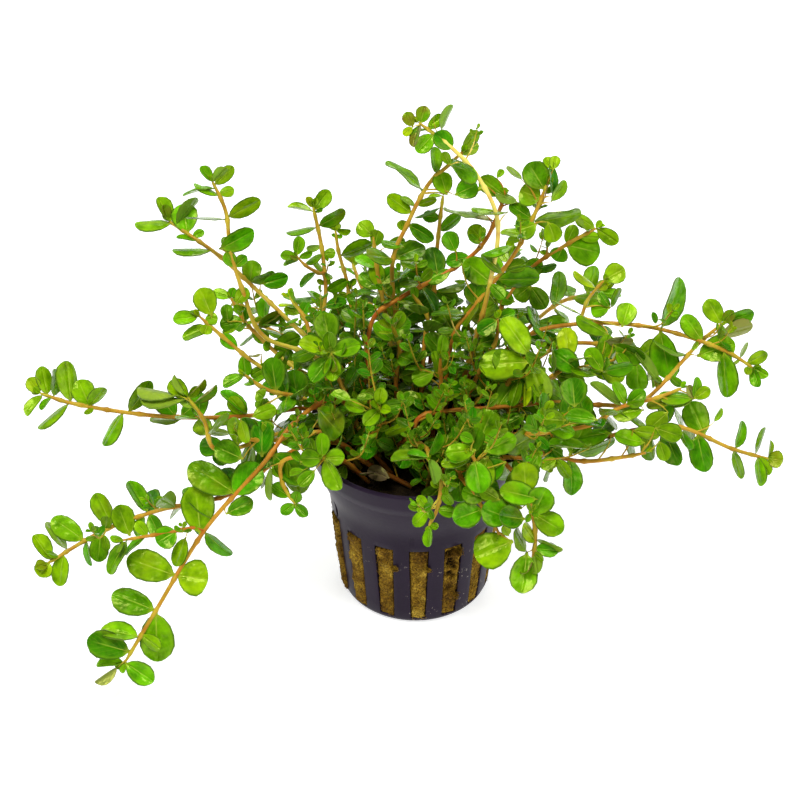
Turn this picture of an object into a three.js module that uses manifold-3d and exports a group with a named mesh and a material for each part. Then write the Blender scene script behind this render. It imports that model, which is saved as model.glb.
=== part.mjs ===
// Indian toothcup growing in a plastic net pot, with the mineral wool plug that it is rooted in.
// Millimetres, +Z up. The origin is the centre of the pot's underside, and -Y is the front.

import * as THREE from 'three';
import { mergeVertices } from 'three/addons/utils/BufferGeometryUtils.js';
import Module from 'manifold-3d';

const wasm = await Module();
wasm.setup();

// Net pot
const POT_HEIGHT = 48.5;
const RIM_RADIUS = 27.5;
const LIP_STEP_HEIGHT = 43;
const LIP_STEP_RADIUS = 26.2;
const NECK_HEIGHT = 33;
const NECK_RADIUS = 22.5;
const HEEL_HEIGHT = 1.6;
const HEEL_RADIUS = 19.4;
const FOOT_RADIUS = 18.2;
const WALL = 1.2;
const FLOOR = 1.2;
const RINGS = 30;

// Slots around the pot, and drain holes in its floor
const SLOTS = 15;
const SLOT_BOTTOM = 1.8;
const SLOT_TOP = 26.7;
const SLOT_WIDTH_TOP = 5.1;
const SLOT_WIDTH_BOTTOM = 3.9;
const FRONT_SLOT_DEG = -88;
const DRAINS = 5;
const DRAIN_RADIUS = 2.4;
const DRAIN_RING_RADIUS = 10.5;
const DRAIN_SIDES = 6;
const CUT_REACH = 5;

// Mineral wool plug
const PLUG_TOP = 38;
const GAP = 0.35;
const PAD_PROUD = 0.4;

// Stems and leaves
const STEM_RADIUS = 0.55;
const SHOOT_RADIUS = 0.42;
const STEM_SIDES = 4;
const STEM_STEP = 14;
const ROOT_HEIGHT = PLUG_TOP + GAP + STEM_RADIUS;
const LEAF_WIDTH_SHARE = 0.74;
const LEAF_HALF_THICKNESS = 0.3;
const LEAF_CLEARANCE = 0.75;
const LEAF_SEAT = 0.55;
const SMALL_LEAF = 8;
const LEAF_MIN_LENGTH = 2.6;

// Leaf pairs: each pair is farther from the tip than the one before, opens wider and is larger, and is
// turned a quarter round the stem unless the stem's own twist says otherwise.
const FIRST_JOINT = 1.5;
const JOINT_GROWTH = 0.75;
const QUARTER_TURN = 90;
const ROLL_SPREAD = 30;
const OPENING = 48;
const OPENING_STEP = 5;
const WIDEST_PAIR = 5;
const YOUNG_LEAF_SHARE = 0.45;
const LEAF_GROWTH_STEP = 0.2;
const SIZE_SPREAD = 0.2;
const LEAF_LIFT = 0.18;
const FACE_FORWARD = 0.45;
const LONGEST_SHARE = 0.82;

const COLOURS = { pot: 0x2d2836, wool: 0x8a6f35, leaf: 0x5c9a1c };

// Each stem: the length of its full-grown leaves, their turn round the stem in degrees, the leaf pairs
// counted from its tip, and its route from the plug to the tip. A joint over 1 spaces the pairs wider.
// A route that starts with two numbers starts on the plug; a side shoot starts beside its stem.
const LEFT = [
  { leaf: 9.8, roll: 75, pairs: [1, 2, 4, 6], route: [[-10, 4], [-20, 4, 51], [-29, 3, 53], [-42, 0, 53], [-57, -2, 54], [-71, -4, 57], [-85, -4, 60], [-94, -2, 62]] },
  { leaf: 8.6, roll: 20, pairs: [1, 2, 3], route: [[-14, -1], [-24, -2, 51.2], [-35, -5, 51], [-45, -12, 52], [-50, -15, 55], [-52, -11, 60], [-56, -8, 65]] },
  { leaf: 12.6, roll: -8, twist: 0, joint: 1.35, pairs: [1, 2, 3, 4, 5, 6, 7], route: [[-5, -1], [-18, 2, 56], [-29, -6, 57], [-38, -16, 50], [-52, -25, 37], [-64, -38, 22], [-72, -44, 10]] },
  { leaf: 9.2, roll: 60, pairs: [1, 2, 3, 4, 5], route: [[-1, -11], [-12, -8, 44], [-19, -8, 50.5], [-28, -11, 52], [-38, -13, 46], [-47, -18, 42], [-64, -19, 38], [-78, -21, 33], [-92, -28, 28]] },
  { leaf: 8.8, roll: 10, pairs: [1, 2, 3], shoot: true, route: [[-53.5, -24.5, 37.5], [-64, -27, 37], [-75, -31, 38]] },
  { leaf: 8.6, roll: 30, pairs: [1], route: [[-13, 2], [-21, 2, 52.5], [-29, 1, 58], [-37, -1, 62], [-43, -2, 68]] },
  { leaf: 10.4, roll: 80, pairs: [1, 2, 3], route: [[-14, -3.5], [-22, -5, 51.3], [-30, -7, 51.5], [-37, -10, 53], [-42, -14, 57], [-46, -17, 62]] },
  { leaf: 7.4, roll: 5, pairs: [1], route: [[-9, 1], [-18, 8, 57], [-25, 12, 64], [-28, 18, 70], [-32, 22, 74]] },
  { leaf: 8.4, roll: 40, pairs: [1], route: [[-11, -2], [-15, -1, 52], [-19, 0, 64], [-21, 1, 72]] },
];
const FRONT = [
  { leaf: 8.4, roll: 15, pairs: [1, 2], route: [[-12, -9], [-18, -14, 50], [-23, -23, 58]] },
  { leaf: 5.4, roll: 30, pairs: [1, 3], route: [[-14, -6], [-20, -11, 48], [-28, -15, 52], [-33, -16, 51], [-33, -18, 46], [-30, -20, 41]] },
  { leaf: 7.4, roll: 70, pairs: [1], route: [[-6, -6], [-12, -5, 48], [-9, -9, 57], [-9, -11, 65]] },
  { leaf: 6.8, roll: 50, pairs: [1], route: [[-1, -4], [-3, -6, 50], [2, -16, 56], [3, -24, 59]] },
  { leaf: 6.8, roll: 25, pairs: [1, 2, 3], route: [[3, -11], [4, -19, 52], [6, -26, 54], [5, -29, 47], [3, -31, 43], [3, -33, 39]] },
  { leaf: 8.6, roll: 65, pairs: [1, 2], route: [[4, -14], [10, -19, 50], [14, -26, 59], [11, -27, 65]] },
  { leaf: 9.6, roll: 30, pairs: [1, 2], route: [[6, -5], [12, -11, 53], [15, -17, 62], [17, -18, 68]] },
  { leaf: 10.6, roll: 55, pairs: [1, 2, 3], route: [[5, -9], [8, -19, 52], [12, -28, 54], [16, -31, 49], [20, -33, 42], [19, -33, 35]] },
  { leaf: 10.8, roll: 10, pairs: [1, 2, 3, 4], route: [[8, -8], [16, -16, 55], [21, -22, 56], [25, -26, 53], [28, -29, 46], [29, -31, 39], [28, -34, 31]] },
];
const RIGHT = [
  { leaf: 10.4, roll: 20, pairs: [1, 2, 3, 4], route: [[2, -7], [0, -4, 54], [8, -2, 56], [18, -2, 57], [34, -1, 58], [46, -2, 58], [57, 0, 58], [72, 15, 65], [82, 21, 70]] },
  { leaf: 9.2, roll: 65, pairs: [1, 2, 4], route: [[8, -5], [21, -6, 51], [36, -7, 52], [45, -9, 53], [55, -8, 55], [66, -6, 54], [79, -7, 48], [90, -8, 45]] },
  { leaf: 8.6, roll: 35, pairs: [1, 3], route: [[13, -4], [23, -10, 53], [32, -12, 57], [43, -10, 58], [50, -7, 61], [60, -4, 62], [70, 0, 64]] },
  { leaf: 9.2, roll: 5, pairs: [1, 2, 3], route: [[13, -6], [24, -11, 51], [40, -13, 49], [50, -13, 50], [59, -14, 53]] },
  { leaf: 9.6, roll: 50, pairs: [1], route: [[11, -9], [18, -15, 51], [27, -17, 53], [32, -18, 52], [37, -20, 48]] },
  { leaf: 9.8, roll: 75, pairs: [1, 2], route: [[10, -7], [24, -15, 58], [31, -18, 62], [35, -17, 67]] },
  { leaf: 9.2, roll: 15, pairs: [1], route: [[14, 0], [23, 3, 52], [31, 4, 60], [37, 4, 65], [42, 5, 71]] },
  { leaf: 9, roll: 45, pairs: [1], route: [[14, 3], [25, 8, 53], [36, 9, 59], [45, 8, 63], [52, 7, 66]] },
  { leaf: 11, roll: 78, pairs: [1, 2, 3], route: [[9, 1], [17, 1, 50], [23, 2, 62], [26, 2, 71], [25, 4, 79]] },
  { leaf: 9, roll: 30, pairs: [1, 2, 3], route: [[10, 3], [23, 8, 55], [30, 11, 62], [38, 14, 65], [48, 15, 64], [55, 16, 60], [61, 14, 56]] },
  { leaf: 10.6, roll: 60, joint: 1.25, pairs: [1, 2, 3, 4], route: [[12, 5], [21, 15, 59], [30, 19, 65], [41, 20, 67], [49, 19, 68], [60, 17, 68], [71, 13, 67], [79, 10, 65], [86, 8, 61]] },
  { leaf: 7.6, roll: 10, pairs: [1, 2, 3], shoot: true, route: [[42, 20.5, 68.6], [44, 22, 74], [50, 24, 81]] },
];
const CROWN = [
  { leaf: 9.8, roll: 25, pairs: [1, 2, 3, 5], route: [[-7, 8], [-22, 17, 57.5], [-33, 25, 65], [-41, 31, 70], [-51, 38, 76], [-65, 46, 82]] },
  { leaf: 9, roll: 70, joint: 1.15, pairs: [1, 2, 3, 4], route: [[-10, 8], [-24, 19.5, 55], [-39, 23, 61], [-44, 26, 73], [-47, 30, 83], [-48, 34, 92], [-52, 37, 101]] },
  { leaf: 9.6, roll: 45, pairs: [1, 2, 3], route: [[-13.5, 4.5], [-22, 8, 51], [-32, 14, 53], [-41, 18, 56], [-49, 22, 61], [-58, 26, 68]] },
  { leaf: 9, roll: 15, pairs: [1, 3], route: [[-13, 7], [-21, 12, 51], [-32, 20, 54], [-40, 26, 58], [-45, 30, 62], [-49, 33, 69]] },
  { leaf: 9.6, roll: 60, pairs: [1, 2, 4], route: [[-3, 10], [-13, 17, 51], [-23, 24, 62], [-23, 29, 72], [-24, 33, 82], [-26, 36, 92]] },
  { leaf: 6.2, roll: 30, pairs: [1], shoot: true, route: [[-24, 29, 76], [-28, 26, 81], [-31, 25, 86]] },
  { leaf: 7.2, roll: 80, pairs: [1, 3], route: [[-3, 14], [-9, 25, 51.2], [-16, 34, 60], [-18, 40, 67], [-20, 45, 72], [-21, 49, 77]] },
  { leaf: 7.4, roll: 20, pairs: [1], route: [[-7, 13], [-12, 24, 51.8], [-24, 38, 58], [-28, 44, 62], [-31, 49, 67]] },
  { leaf: 9.6, roll: 55, pairs: [1, 2, 3, 4], route: [[3, 9], [-3, 17, 58], [-6, 24, 81], [-2, 27, 93], [3, 29, 103], [8, 30, 108], [13, 31, 113]] },
  { leaf: 8.6, roll: 35, pairs: [1, 2, 3, 4], route: [[7, 7], [13, 11, 60], [18, 14, 82], [20, 19, 98], [15, 23, 109], [8, 26, 116], [2, 28, 120], [-2, 29, 123]] },
  { leaf: 8.6, roll: 75, pairs: [1, 3], route: [[2, 13], [4, 23, 56], [5, 31, 75], [6, 35, 87], [7, 38, 95]] },
  { leaf: 8.4, roll: 10, pairs: [1], route: [[-2, 8], [-5, 17, 54], [-8, 24, 69], [-10, 29, 79], [-11, 33, 89]] },
  { leaf: 10, roll: 40, pairs: [1, 2, 4], route: [[-7, 4], [-12, 10, 58], [-11, 17, 70], [-4, 20, 75], [10, 25, 81], [17, 27, 87], [21, 29, 96], [23, 30, 102]] },
  { leaf: 10.8, roll: 65, pairs: [1, 2, 3, 4], route: [[6, 4], [9, 13, 66], [15, 17, 75], [24, 22, 86], [29, 26, 95], [33, 29, 105]] },
  { leaf: 10.6, roll: 30, pairs: [1, 2, 3, 4], route: [[9, 9], [17, 24, 58], [28, 33, 73], [38, 36, 80], [49, 38, 86]] },
  { leaf: 7.4, roll: 5, pairs: [1], route: [[-4, 1], [-5, 9, 57], [-4, 9, 67], [-6, 7, 76]] },
  { leaf: 7.6, roll: 50, pairs: [1], route: [[1, 4], [2, 13, 64], [3, 17, 71], [-1, 19, 77]] },
  { leaf: 9, roll: 85, pairs: [1, 2, 3], route: [[3, -1], [6, 3, 57], [6, 3, 67], [6, 2, 76]] },
  { leaf: 9.8, roll: 20, pairs: [1, 2], route: [[7, 1], [15, 6, 60], [20, 9, 70], [20, 11, 79]] },
];
const BACK = [
  { leaf: 8.8, roll: 45, pairs: [1, 3], route: [[6, 13], [12, 25, 51.7], [17, 36, 55], [23, 48, 58], [26, 57, 63]] },
  { leaf: 8.8, roll: 15, pairs: [1, 3], route: [[0, 14.5], [-1, 25, 51.2], [-8, 38, 53], [-14, 50, 57], [-17, 60, 59]] },
  { leaf: 9.4, roll: 70, pairs: [1, 3], route: [[12, 10], [19, 19, 51], [28, 27, 59], [38, 38, 61], [50, 47, 58]] },
  { leaf: 9.2, roll: 30, pairs: [1, 3], route: [[-11, 10], [-19, 20, 51.8], [-30, 33, 51], [-40, 40, 52], [-48, 48, 54]] },
];

const UP = new THREE.Vector3(0, 0, 1);
const LIGHT = new THREE.Vector3(0, -0.3, 0.8);

// Solids: a geometry's shared corners are merged before the library reads it.
function solidOf(geometry) {
  const bare = geometry.index ? geometry.toNonIndexed() : geometry.clone();
  bare.deleteAttribute('normal');
  bare.deleteAttribute('uv');
  const welded = mergeVertices(bare, 1e-4);
  const index = welded.index.array;
  const triangles = [];
  for (let i = 0; i < index.length; i += 3) {
    const [a, b, c] = [index[i], index[i + 1], index[i + 2]];
    if (a !== b && b !== c && c !== a) triangles.push(a, b, c);
  }
  return new wasm.Manifold(new wasm.Mesh({
    numProp: 3,
    vertProperties: new Float32Array(welded.attributes.position.array),
    triVerts: new Uint32Array(triangles),
  }));
}

function geometryOf(solid) {
  const mesh = solid.getMesh();
  const geometry = new THREE.BufferGeometry();
  geometry.setAttribute('position', new THREE.BufferAttribute(mesh.vertProperties, 3));
  geometry.setIndex(new THREE.BufferAttribute(mesh.triVerts, 1));
  geometry.computeVertexNormals();
  return geometry;
}

// A profile turned around +Z, with a line of corners at a bearing in degrees
function turned(profile, segments, bearing) {
  const points = profile.map(([r, z]) => new THREE.Vector2(r, z));
  const geometry = new THREE.LatheGeometry(points, segments);
  geometry.rotateX(Math.PI / 2);
  geometry.rotateZ(THREE.MathUtils.degToRad(bearing + 90));
  return solidOf(geometry);
}

// The pot's outer radius at a height
const OUTER = [
  [FOOT_RADIUS, 0],
  [HEEL_RADIUS, HEEL_HEIGHT],
  [NECK_RADIUS, NECK_HEIGHT],
  [LIP_STEP_RADIUS, LIP_STEP_HEIGHT],
  [RIM_RADIUS, POT_HEIGHT],
];

function outerRadius(z) {
  for (let i = 1; i < OUTER.length; i += 1) {
    const [r0, z0] = OUTER[i - 1];
    const [r1, z1] = OUTER[i];
    if (z <= z1) return r0 + (r1 - r0) * (z - z0) / (z1 - z0);
  }
  return RIM_RADIUS;
}

// A block across the wall, narrower at the bottom, from a radius inside the wall to one outside it
function slotBlock(inset, inside, proud) {
  const low = SLOT_BOTTOM + inset;
  const high = SLOT_TOP - inset;
  const outline = new THREE.Shape([
    new THREE.Vector2(inside, low),
    new THREE.Vector2(outerRadius(low) + proud, low),
    new THREE.Vector2(outerRadius(high) + proud, high),
    new THREE.Vector2(inside, high),
  ]);
  const block = new THREE.ExtrudeGeometry(outline, { depth: 1, bevelEnabled: false });
  block.translate(0, 0, -0.5);
  const position = block.attributes.position;
  for (let i = 0; i < position.count; i += 1) {
    const share = (position.getY(i) - SLOT_BOTTOM) / (SLOT_TOP - SLOT_BOTTOM);
    const width = THREE.MathUtils.lerp(SLOT_WIDTH_BOTTOM, SLOT_WIDTH_TOP, share) - 2 * inset;
    position.setZ(i, position.getZ(i) * width);
  }
  return block.rotateX(Math.PI / 2);
}

function aroundSlots(makeBlock) {
  return Array.from({ length: SLOTS }, (unused, i) => {
    const turn = THREE.MathUtils.degToRad(FRONT_SLOT_DEG + 360 * i / SLOTS);
    return solidOf(makeBlock().rotateZ(turn));
  });
}

function netPot() {
  const inner = OUTER.slice(2).map(([r, z]) => [r - WALL, z]).reverse();
  const profile = [[0, 0], ...OUTER, ...inner, [HEEL_RADIUS - WALL, FLOOR], [0, FLOOR]];
  let pot = turned(profile, RINGS, FRONT_SLOT_DEG);
  for (const slot of aroundSlots(() => slotBlock(0, FOOT_RADIUS - CUT_REACH, CUT_REACH))) {
    pot = pot.subtract(slot);
  }
  for (let i = 0; i < DRAINS; i += 1) {
    const drain = new THREE.CylinderGeometry(DRAIN_RADIUS, DRAIN_RADIUS, CUT_REACH, DRAIN_SIDES);
    drain.rotateX(Math.PI / 2);
    drain.translate(DRAIN_RING_RADIUS, 0, 0);
    drain.rotateZ(2 * Math.PI * i / DRAINS);
    pot = pot.subtract(solidOf(drain));
  }
  return pot;
}

// The wool fills the pot and swells into its slots, as far as the wall's outer face.
function woolPlug() {
  const bottom = FLOOR + GAP;
  const clear = WALL + GAP;
  let plug = turned([
    [0, bottom],
    [outerRadius(bottom) - clear - GAP, bottom],
    [NECK_RADIUS - clear, NECK_HEIGHT],
    [outerRadius(PLUG_TOP) - clear, PLUG_TOP],
    [0, PLUG_TOP],
  ], SLOTS, FRONT_SLOT_DEG + 180 / SLOTS);
  for (const pad of aroundSlots(() => slotBlock(GAP, FOOT_RADIUS - CUT_REACH, PAD_PROUD))) {
    plug = plug.add(pad);
  }
  return plug;
}

// A repeatable number from 0 to 1 for the small differences between leaves
function scatter(a, b) {
  const s = Math.sin(a * 12.9898 + b * 78.233) * 43758.5453;
  return s - Math.floor(s);
}

// Distance of a leaf pair from the stem's tip: the joints lie closer together towards the tip.
function pairDistance(stem, pair) {
  return stem.joint * (FIRST_JOINT * pair + JOINT_GROWTH * pair * pair);
}

// A leaf as its stalk's foot, its long axis, its width and face directions, and its length
function leafAt(stem, pair, side, turn, lift, scale) {
  const share = 1 - pairDistance(stem, pair) / stem.length;
  const step = Math.min(Math.floor(share * stem.steps), stem.steps - 1);
  const foot = stem.stops[step].clone().lerp(stem.stops[step + 1], share * stem.steps - step);
  const along = stem.curve.getTangentAt(share);
  const across = new THREE.Vector3().crossVectors(along, UP).normalize();
  const third = new THREE.Vector3().crossVectors(along, across);
  const jitter = scatter(stem.id, 7 * pair + side);
  const roll = THREE.MathUtils.degToRad(stem.roll + stem.twist * pair + turn + ROLL_SPREAD * (jitter - 0.5));
  const outward = across.multiplyScalar(Math.cos(roll)).addScaledVector(third, Math.sin(roll));
  outward.multiplyScalar(side);
  foot.addScaledVector(outward, LEAF_SEAT * stem.radius);
  const opening = THREE.MathUtils.degToRad(OPENING + OPENING_STEP * Math.min(pair, WIDEST_PAIR) + lift);
  const axis = outward.multiplyScalar(Math.sin(opening)).addScaledVector(along, Math.cos(opening));
  axis.addScaledVector(UP, LEAF_LIFT).normalize();
  const face = along.clone().multiplyScalar(FACE_FORWARD).add(LIGHT);
  face.addScaledVector(axis, -face.dot(axis)).normalize();
  const width = new THREE.Vector3().crossVectors(axis, face);
  const growth = Math.min(1, YOUNG_LEAF_SHARE + LEAF_GROWTH_STEP * pair * stem.joint);
  const chance = 1 + SIZE_SPREAD * (scatter(stem.id, 31 * pair + side) - 0.5);
  return { foot, axis, width, face, length: stem.leaf * growth * chance * scale };
}

// Width of a leaf as a share of its length, wider past the middle
function halfWidth(leaf, share) {
  const round = Math.sqrt(Math.max(0, 1 - (2 * share - 1) ** 2));
  return leaf.length * LEAF_WIDTH_SHARE / 2 * round * (0.9 + 0.25 * (share - 0.5));
}

function leafPoint(leaf, share, sideways, raise = 0) {
  return leaf.foot.clone()
    .addScaledVector(leaf.axis, share * leaf.length)
    .addScaledVector(leaf.width, sideways * halfWidth(leaf, share))
    .addScaledVector(leaf.face, raise);
}

// Lines over a leaf, for finding what it would touch
const LEAF_LINES = [
  [[0, 0], [1, 0]],
  [[0.1, 1], [0.1, -1]],
  [[0.5, 1], [0.5, -1]],
  [[0.8, 1], [0.8, -1]],
  [[0.1, 1], [0.5, 1]],
  [[0.1, -1], [0.5, -1]],
  [[0.5, 1], [1, 0]],
  [[0.5, -1], [1, 0]],
];

function leafLines(leaf) {
  return LEAF_LINES.map(([a, b]) => [leafPoint(leaf, ...a), leafPoint(leaf, ...b)]);
}

// Whether a line comes within a gap of a leaf's blade
function lineMeetsLeaf([start, end], leaf, gap) {
  const a = start.clone().sub(leaf.foot);
  const b = end.clone().sub(leaf.foot);
  const high = a.dot(leaf.face);
  const fall = b.dot(leaf.face) - high;
  let enter = 0;
  let leave = 1;
  if (Math.abs(fall) < 1e-6) {
    if (Math.abs(high) > gap) return false;
  } else {
    const one = (-gap - high) / fall;
    const two = (gap - high) / fall;
    enter = Math.max(0, Math.min(one, two));
    leave = Math.min(1, Math.max(one, two));
    if (enter > leave) return false;
  }
  for (const share of [0, 0.25, 0.5, 0.75, 1]) {
    const p = a.clone().lerp(b, enter + (leave - enter) * share);
    const u = (p.dot(leaf.axis) - leaf.length / 2) / (leaf.length / 2 + gap);
    const v = p.dot(leaf.width) / (leaf.length * LEAF_WIDTH_SHARE / 2 + gap);
    if (u * u + v * v < 1) return true;
  }
  return false;
}

function leavesMeet(one, other) {
  const reach = (one.length + other.length) / 2 + LEAF_CLEARANCE;
  const apart = leafPoint(one, 0.5, 0).distanceTo(leafPoint(other, 0.5, 0));
  if (apart > reach) return false;
  return leafLines(one).some((line) => lineMeetsLeaf(line, other, LEAF_CLEARANCE))
    || leafLines(other).some((line) => lineMeetsLeaf(line, one, LEAF_CLEARANCE));
}

function meetsPot(leaf) {
  for (const [a, b] of leafLines(leaf)) {
    for (let i = 0; i <= 6; i += 1) {
      const p = a.clone().lerp(b, i / 6);
      const r = Math.hypot(p.x, p.y);
      if (p.z < LEAF_CLEARANCE) return true;
      if (p.z < POT_HEIGHT + LEAF_CLEARANCE) {
        if (r < outerRadius(p.z) + LEAF_CLEARANCE && r > outerRadius(p.z) - WALL - LEAF_CLEARANCE) return true;
        if (p.z < PLUG_TOP + LEAF_CLEARANCE && r < RIM_RADIUS) return true;
      }
    }
  }
  return false;
}

// Where a leaf would touch another, it turns, lifts or stays smaller.
const TRIES = [
  [0, 0, 1],
  [16, 0, 1],
  [-16, 0, 1],
  [0, 18, 1],
  [0, -18, 1],
  [28, 10, 0.9],
  [-28, 10, 0.9],
  [0, 30, 0.8],
  [12, -24, 0.75],
];

function placeLeaves(stems) {
  const placed = [];
  for (const stem of stems) {
    for (const pair of stem.pairs) {
      if (pairDistance(stem, pair) > LONGEST_SHARE * stem.length) break;
      for (const side of [1, -1]) {
        for (const [turn, lift, scale] of TRIES) {
          const leaf = leafAt(stem, pair, side, turn, lift, scale);
          if (leaf.length < LEAF_MIN_LENGTH) break;
          const nearStem = stems.some((other) => other !== stem && other.lines.some((line) => (
            line[0].distanceTo(leaf.foot) < STEM_STEP + leaf.length
            && lineMeetsLeaf(line, leaf, LEAF_CLEARANCE + other.radius))));
          const nearLeaf = placed.some((other) => other.stem !== stem && leavesMeet(leaf, other));
          if (nearStem || nearLeaf || meetsPot(leaf)) continue;
          leaf.stem = stem;
          stem.leaves.push(leaf);
          placed.push(leaf);
          break;
        }
      }
    }
  }
}

// A leaf is a flat lens with six corners, or four on a small one, whose narrow end is in the stem.
// The ball's X runs along the leaf, its Z across and its Y through.
function leafSolid(leaf) {
  const corners = leaf.length < SMALL_LEAF ? 4 : 6;
  const geometry = new THREE.SphereGeometry(1, corners, 2);
  const position = geometry.attributes.position;
  for (let i = 0; i < position.count; i += 1) {
    const share = (position.getX(i) + 1) / 2;
    const sideways = Math.sign(Math.round(position.getZ(i) * 2));
    const p = leafPoint(leaf, share, sideways, position.getY(i) * LEAF_HALF_THICKNESS);
    position.setXYZ(i, p.x, p.y, p.z);
  }
  return solidOf(geometry);
}

function stemSolid(stem) {
  const outline = new THREE.Shape();
  for (let i = 0; i < STEM_SIDES; i += 1) {
    const turn = 2 * Math.PI * (i + 0.5) / STEM_SIDES;
    const [x, y] = [stem.radius * Math.cos(turn), stem.radius * Math.sin(turn)];
    if (i === 0) outline.moveTo(x, y);
    else outline.lineTo(x, y);
  }
  const tube = new THREE.ExtrudeGeometry(outline, { steps: stem.steps, extrudePath: stem.curve });
  let solid = solidOf(tube);
  for (const leaf of stem.leaves) solid = solid.add(leafSolid(leaf));
  return solid;
}

function stemFrom(row, name, id) {
  const points = row.route.map(([x, y, z = ROOT_HEIGHT]) => new THREE.Vector3(x, y, z));
  const curve = new THREE.CatmullRomCurve3(points, false, 'catmullrom', 0.5);
  const length = curve.getLength();
  const radius = row.shoot ? SHOOT_RADIUS : STEM_RADIUS;
  const steps = Math.max(Math.ceil(length / STEM_STEP), points.length - 1);
  const stops = curve.getSpacedPoints(steps);
  const lines = stops.slice(1).map((p, i) => [stops[i], p]);
  const { joint = 1, twist = QUARTER_TURN } = row;
  return { ...row, joint, twist, name, id, curve, length, radius, steps, stops, lines, leaves: [] };
}

function addMesh(group, name, solid, colour, roughness, origin = new THREE.Vector3()) {
  const geometry = geometryOf(solid);
  geometry.translate(-origin.x, -origin.y, -origin.z);
  const material = new THREE.MeshStandardMaterial({ color: colour, roughness, metalness: 0 });
  const mesh = new THREE.Mesh(geometry, material);
  mesh.name = name;
  mesh.position.copy(origin);
  group.add(mesh);
}

const toothcup = new THREE.Group();
addMesh(toothcup, 'net_pot', netPot(), COLOURS.pot, 0.45);
addMesh(toothcup, 'mineral_wool_plug', woolPlug(), COLOURS.wool, 0.95);

const plant = new THREE.Group();
toothcup.add(plant);
const stems = [];
for (const [side, rows] of Object.entries({ left: LEFT, front: FRONT, right: RIGHT, crown: CROWN, back: BACK })) {
  rows.forEach((row, i) => {
    const kind = row.shoot ? 'side_shoot' : 'stem';
    stems.push(stemFrom(row, `${kind}_${side}_${i + 1}`, stems.length + 1));
  });
}
placeLeaves(stems);
for (const stem of stems) {
  addMesh(plant, stem.name, stemSolid(stem), COLOURS.leaf, 0.4, stem.curve.getPointAt(0));
}

export default toothcup;
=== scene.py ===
import bpy
import math
from mathutils import Matrix, Vector, noise


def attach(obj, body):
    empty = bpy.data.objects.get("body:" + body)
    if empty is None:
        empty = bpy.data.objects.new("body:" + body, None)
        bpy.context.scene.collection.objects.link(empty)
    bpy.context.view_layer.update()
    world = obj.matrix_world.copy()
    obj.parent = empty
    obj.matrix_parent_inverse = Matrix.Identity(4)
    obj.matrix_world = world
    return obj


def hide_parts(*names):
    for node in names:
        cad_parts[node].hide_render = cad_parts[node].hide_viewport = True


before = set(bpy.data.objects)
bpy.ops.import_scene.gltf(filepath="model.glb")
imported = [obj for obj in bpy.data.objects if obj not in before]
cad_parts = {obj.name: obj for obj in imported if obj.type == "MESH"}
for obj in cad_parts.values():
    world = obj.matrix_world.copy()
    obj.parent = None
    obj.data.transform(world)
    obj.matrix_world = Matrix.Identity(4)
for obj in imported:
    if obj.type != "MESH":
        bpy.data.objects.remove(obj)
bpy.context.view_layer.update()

# Table, camera and lamps. The plant stands on a plain white table, seen from a little above its rim
# through a long lens, under a large soft lamp on the left, a weaker one on the right and a bright room.
AIM = Vector((-0.004, 0.0, 0.058))
EYE = Vector((-0.004, -0.446, 0.4015))
bpy.ops.object.camera_add(location=EYE, rotation=(AIM - EYE).to_track_quat("-Z", "Y").to_euler())
camera = bpy.context.object
camera.name = "camera"
camera.data.lens = 101.5
camera.data.sensor_width = 36
bpy.context.scene.camera = camera


def add_lamp(name, place, width, power):
    turn = (AIM - Vector(place)).to_track_quat("-Z", "Y").to_euler()
    bpy.ops.object.light_add(type="AREA", location=place, rotation=turn)
    lamp = bpy.context.object
    lamp.name = name
    lamp.data.shape = "DISK"
    lamp.data.size = width
    lamp.data.energy = power
    return lamp


lamps = [
    add_lamp("top_lamp", (-0.28, -0.22, 1.0), 0.45, 8.7),
    add_lamp("right_lamp", (0.75, -0.45, 0.6), 0.6, 3.4),
    add_lamp("back_lamp", (0.12, 0.75, 0.75), 0.5, 4.2),
]
bpy.context.scene.view_settings.view_transform = "Standard"


def set_inputs(node, values):
    """Sets a node's inputs, by their names, to values that are the same all over."""
    for name, value in values.items():
        node.inputs[name].default_value = value


room = bpy.data.worlds.new("bright_room")
bpy.context.scene.world = room
room.use_nodes = True
set_inputs(room.node_tree.nodes["Background"], {"Color": (1, 1, 1, 1), "Strength": 0.4})

bpy.ops.mesh.primitive_plane_add(size=6)
table_top = bpy.context.object
table_top.name = "table_top"
white_table = bpy.data.materials.new("white_table")
white_table.use_nodes = True
set_inputs(white_table.node_tree.nodes["Principled BSDF"], {
    "Base Color": (0.62, 0.62, 0.62, 1), "Roughness": 0.7,
    "Emission Color": (1, 1, 1, 1), "Emission Strength": 0.66,
})
table_top.data.materials.append(white_table)

# Net pot. One thin moulding of dark violet plastic: a closed floor with drain holes, a tapered wall cut
# into ribs by tall slots, a flared collar with a faint step, and a plain rim. It stands on the table.
MM = 0.001
WALL = 1.2 * MM
SLOTS = 15
FRONT_SLOT = math.radians(-88)
SLOT_LOW = 1.8 * MM
SLOT_HIGH = 26.7 * MM
SLOT_WIDTHS = (3.9 * MM, 5.1 * MM)
LEAN_TOP = 40 * MM
COLUMNS = 8
FACE_TURN = 2 * math.pi / (SLOTS * COLUMNS)
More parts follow.
